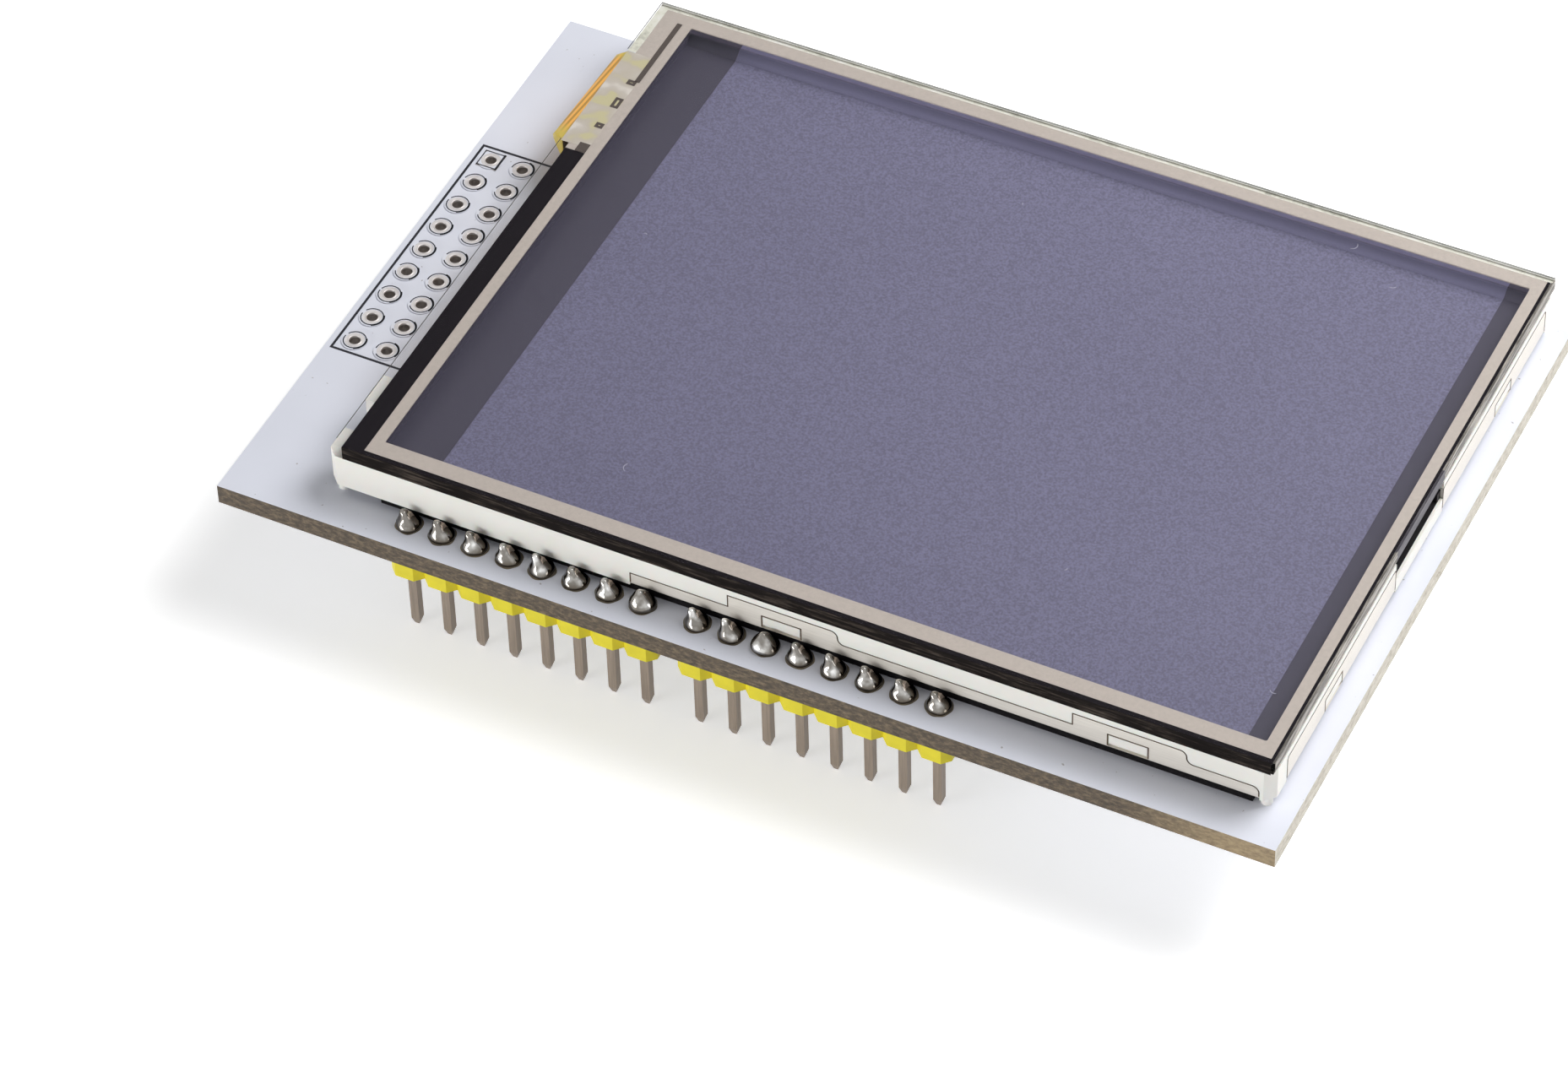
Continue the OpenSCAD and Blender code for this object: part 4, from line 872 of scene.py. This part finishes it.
def outer_edges(node, axis, sign):
    """Outline of a node's outermost flat face on one side, as pairs of points."""
    lo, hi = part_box(node)
    reach = (hi if sign > 0 else lo)[axis]
    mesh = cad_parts[node].data
    count = {}
    for face in mesh.polygons:
        if face.normal[axis] * sign > 0.99 and abs(face.center[axis] - reach) < 0.02 * MM:
            corners = [tuple(round(c, 6) for c in mesh.vertices[i].co) for i in face.vertices]
            for pair in zip(corners, corners[1:] + corners[:1]):
                key = tuple(sorted(pair))
                count[key] = count.get(key, 0) + 1
    return [(Vector(a), Vector(b)) for (a, b), times in sorted(count.items()) if times == 1]


def build_seams():
    """The fine shadow lines where the cover's flanges and windows meet the frame."""
    half, proud, bend = 0.045 * MM, 0.012 * MM, 0.05 * MM
    shape = Shape()
    for axis, sign in ((1, -1), (1, 1), (0, 1)):
        out = Vector((0, 0, 0))
        out[axis] = sign * proud
        edges = outer_edges("back_cover", axis, sign)
        foot = min((min(a.z, b.z) for a, b in edges), default=0.0) + bend
        for a, b in edges:
            if a.z < foot and b.z < foot:
                continue  # the bend, which has no edge
            along = (b - a).normalized()
            side = along.cross(out).normalized() * half
            a, b = a - along * half * 0.5, b + along * half * 0.5
            shape.body([[p + side, p + side + out, p - side + out, p - side] for p in (a, b)])
    shape.piece("flange_seams", "seam", "gasket")


# Place from the board's front left corner and length in mm, and heading in degrees
FIBRES = ((26.8, 9.7, 0.9, 215), (74.0, 8.85, 0.6, 285), (62.8, 49.4, 0.9, 345),
          (66.7, 46.95, 0.6, 330), (40.3, 43.9, 0.25, 40), (17.8, 30.2, 0.3, 100),
          (57.5, 13.0, 0.3, 10))


def build_dust():
    """A few pale fibres caught under the film's surface."""
    chance = random.Random(7)
    steps, radius, z = 7, 0.026 * MM, FILM_HI.z - 0.06 * MM
    fibres = Shape()
    for x, y, length, turn in FIBRES:
        heading = math.radians(turn)
        bend = math.radians(chance.uniform(90, 170))
        path = [Vector((BOARD_LO.x + x * MM, BOARD_LO.y + y * MM, z))]
        for _ in range(steps):
            heading += bend / steps
            ahead = Vector((math.cos(heading), math.sin(heading), 0))
            path.append(path[-1] + ahead * length * MM / steps)
        fibres.tube(path, radius)
    fibres.piece("dust_fibres", "fibre", "film")


# ------------------------------------------------------------------ studio

# The photograph's camera: a long lens above and to the right of the front edge
AZIMUTH, ELEVATION, ROLL = math.radians(27.38), math.radians(46.10), math.radians(-1.845)
AIM = Vector((0.078, -18.074, 14.34)) * MM
DISTANCE = 421.45 * MM
SENSOR_WIDTH, LENS = 36.0, 145.4  # mm
CLIP_START, CLIP_END = 0.01, 10.0

WORLD_SEEN, WORLD_LIT = 1.0, 0.20
FLOOR_HALF, FLOOR_SEEN = 1.5, 0.5
# Name, place, size and power of each lamp
LAMPS = (("key_light", (0.12, 0.12, 0.25), (0.18, 0.18), 0.84),
         ("right_light", (0.50, 0.00, 0.12), (0.30, 0.15), 0.50),
         ("front_light", (-0.35, -0.50, 0.08), (0.40, 0.10), 2.1))


def place_camera():
    """Sets the camera back from its aim, rolled a little about its own axis."""
    forward = Vector((-math.sin(AZIMUTH) * math.cos(ELEVATION),
                      math.cos(AZIMUTH) * math.cos(ELEVATION), -math.sin(ELEVATION)))
    level = Vector((math.cos(AZIMUTH), math.sin(AZIMUTH), 0))
    right = level * math.cos(ROLL) + level.cross(forward) * math.sin(ROLL)
    up = right.cross(forward)
    camera = bpy.data.objects.new("camera", bpy.data.cameras.new("camera"))
    camera.data.sensor_width = SENSOR_WIDTH
    camera.data.lens = LENS
    camera.data.clip_start = CLIP_START
    camera.data.clip_end = CLIP_END
    camera.matrix_world = Matrix.Translation(AIM - forward * DISTANCE) @ Matrix(
        (right, up, -forward)).transposed().to_4x4()
    bpy.context.scene.collection.objects.link(camera)
    bpy.context.scene.camera = camera


def soft_light(name, place, size, power):
    """A rectangular lamp turned to the frame's origin, under the middle of the board."""
    lamp = bpy.data.lights.new(name, "AREA")
    lamp.shape = "RECTANGLE"
    lamp.size, lamp.size_y = size
    lamp.energy = power
    light = bpy.data.objects.new(name, lamp)
    light.location = Vector(place)
    light.rotation_mode = "QUATERNION"
    light.rotation_quaternion = (-Vector(place)).to_track_quat("-Z", "Y")
    bpy.context.scene.collection.objects.link(light)


def seen_or_lit(tree, seen, lit):
    """A value that camera, glossy and transmission rays read as seen, and others as lit."""
    path = tree.nodes.new("ShaderNodeLightPath")
    rays = path.outputs["Is Camera Ray"]
    for other in ("Is Glossy Ray", "Is Transmission Ray"):
        either = tree.nodes.new("ShaderNodeMath")
        either.operation = "MAXIMUM"
        tree.links.new(rays, either.inputs[0])
        tree.links.new(path.outputs[other], either.inputs[1])
        rays = either.outputs[0]
    pick = tree.nodes.new("ShaderNodeMix")
    tree.links.new(rays, pick.inputs[0])
    pick.inputs[2].default_value = lit
    pick.inputs[3].default_value = seen
    return pick.outputs[0]


def build_world():
    """White surroundings that light the part only softly."""
    world = bpy.data.worlds.new("studio")
    bpy.context.scene.world = world
    world.use_nodes = True
    tree = world.node_tree
    background = tree.nodes["Background"]
    background.inputs["Color"].default_value = (*WHITE, 1)
    tree.links.new(seen_or_lit(tree, WORLD_SEEN, WORLD_LIT), background.inputs["Strength"])


def build_floor():
    """Pale paper under the pins, which shows the part's shadow."""
    mesh = bpy.data.meshes.new("floor")
    corners = [(-FLOOR_HALF, -FLOOR_HALF, 0), (FLOOR_HALF, -FLOOR_HALF, 0),
               (FLOOR_HALF, FLOOR_HALF, 0), (-FLOOR_HALF, FLOOR_HALF, 0)]
    mesh.from_pydata(corners, [], [(0, 1, 2, 3)])
    floor = bpy.data.objects.new("floor", mesh)
    bpy.context.scene.collection.objects.link(floor)
    paper = bpy.data.materials.new("paper")
    paper.use_nodes = True
    tree = paper.node_tree
    shader = tree.nodes["Principled BSDF"]
    shader.inputs["Base Color"].default_value = (*grey(0.9), 1)
    shader.inputs["Roughness"].default_value = 0.9
    shader.inputs["Emission Color"].default_value = (*WHITE, 1)
    tree.links.new(seen_or_lit(tree, FLOOR_SEEN, 0.0), shader.inputs["Emission Strength"])
    mesh.materials.append(paper)


bpy.context.scene.view_settings.view_transform = "Standard"
dress_frame()
build_silkscreen()
build_joints()
build_land_rims()
build_bond_cover()
build_border_marks()
build_seals()
build_arrises()
build_clear_margin()
build_surround()
build_tail()
build_notch_tape()
build_seams()
build_dust()
place_camera()
build_world()
build_floor()
for settings in LAMPS:
    soft_light(*settings)
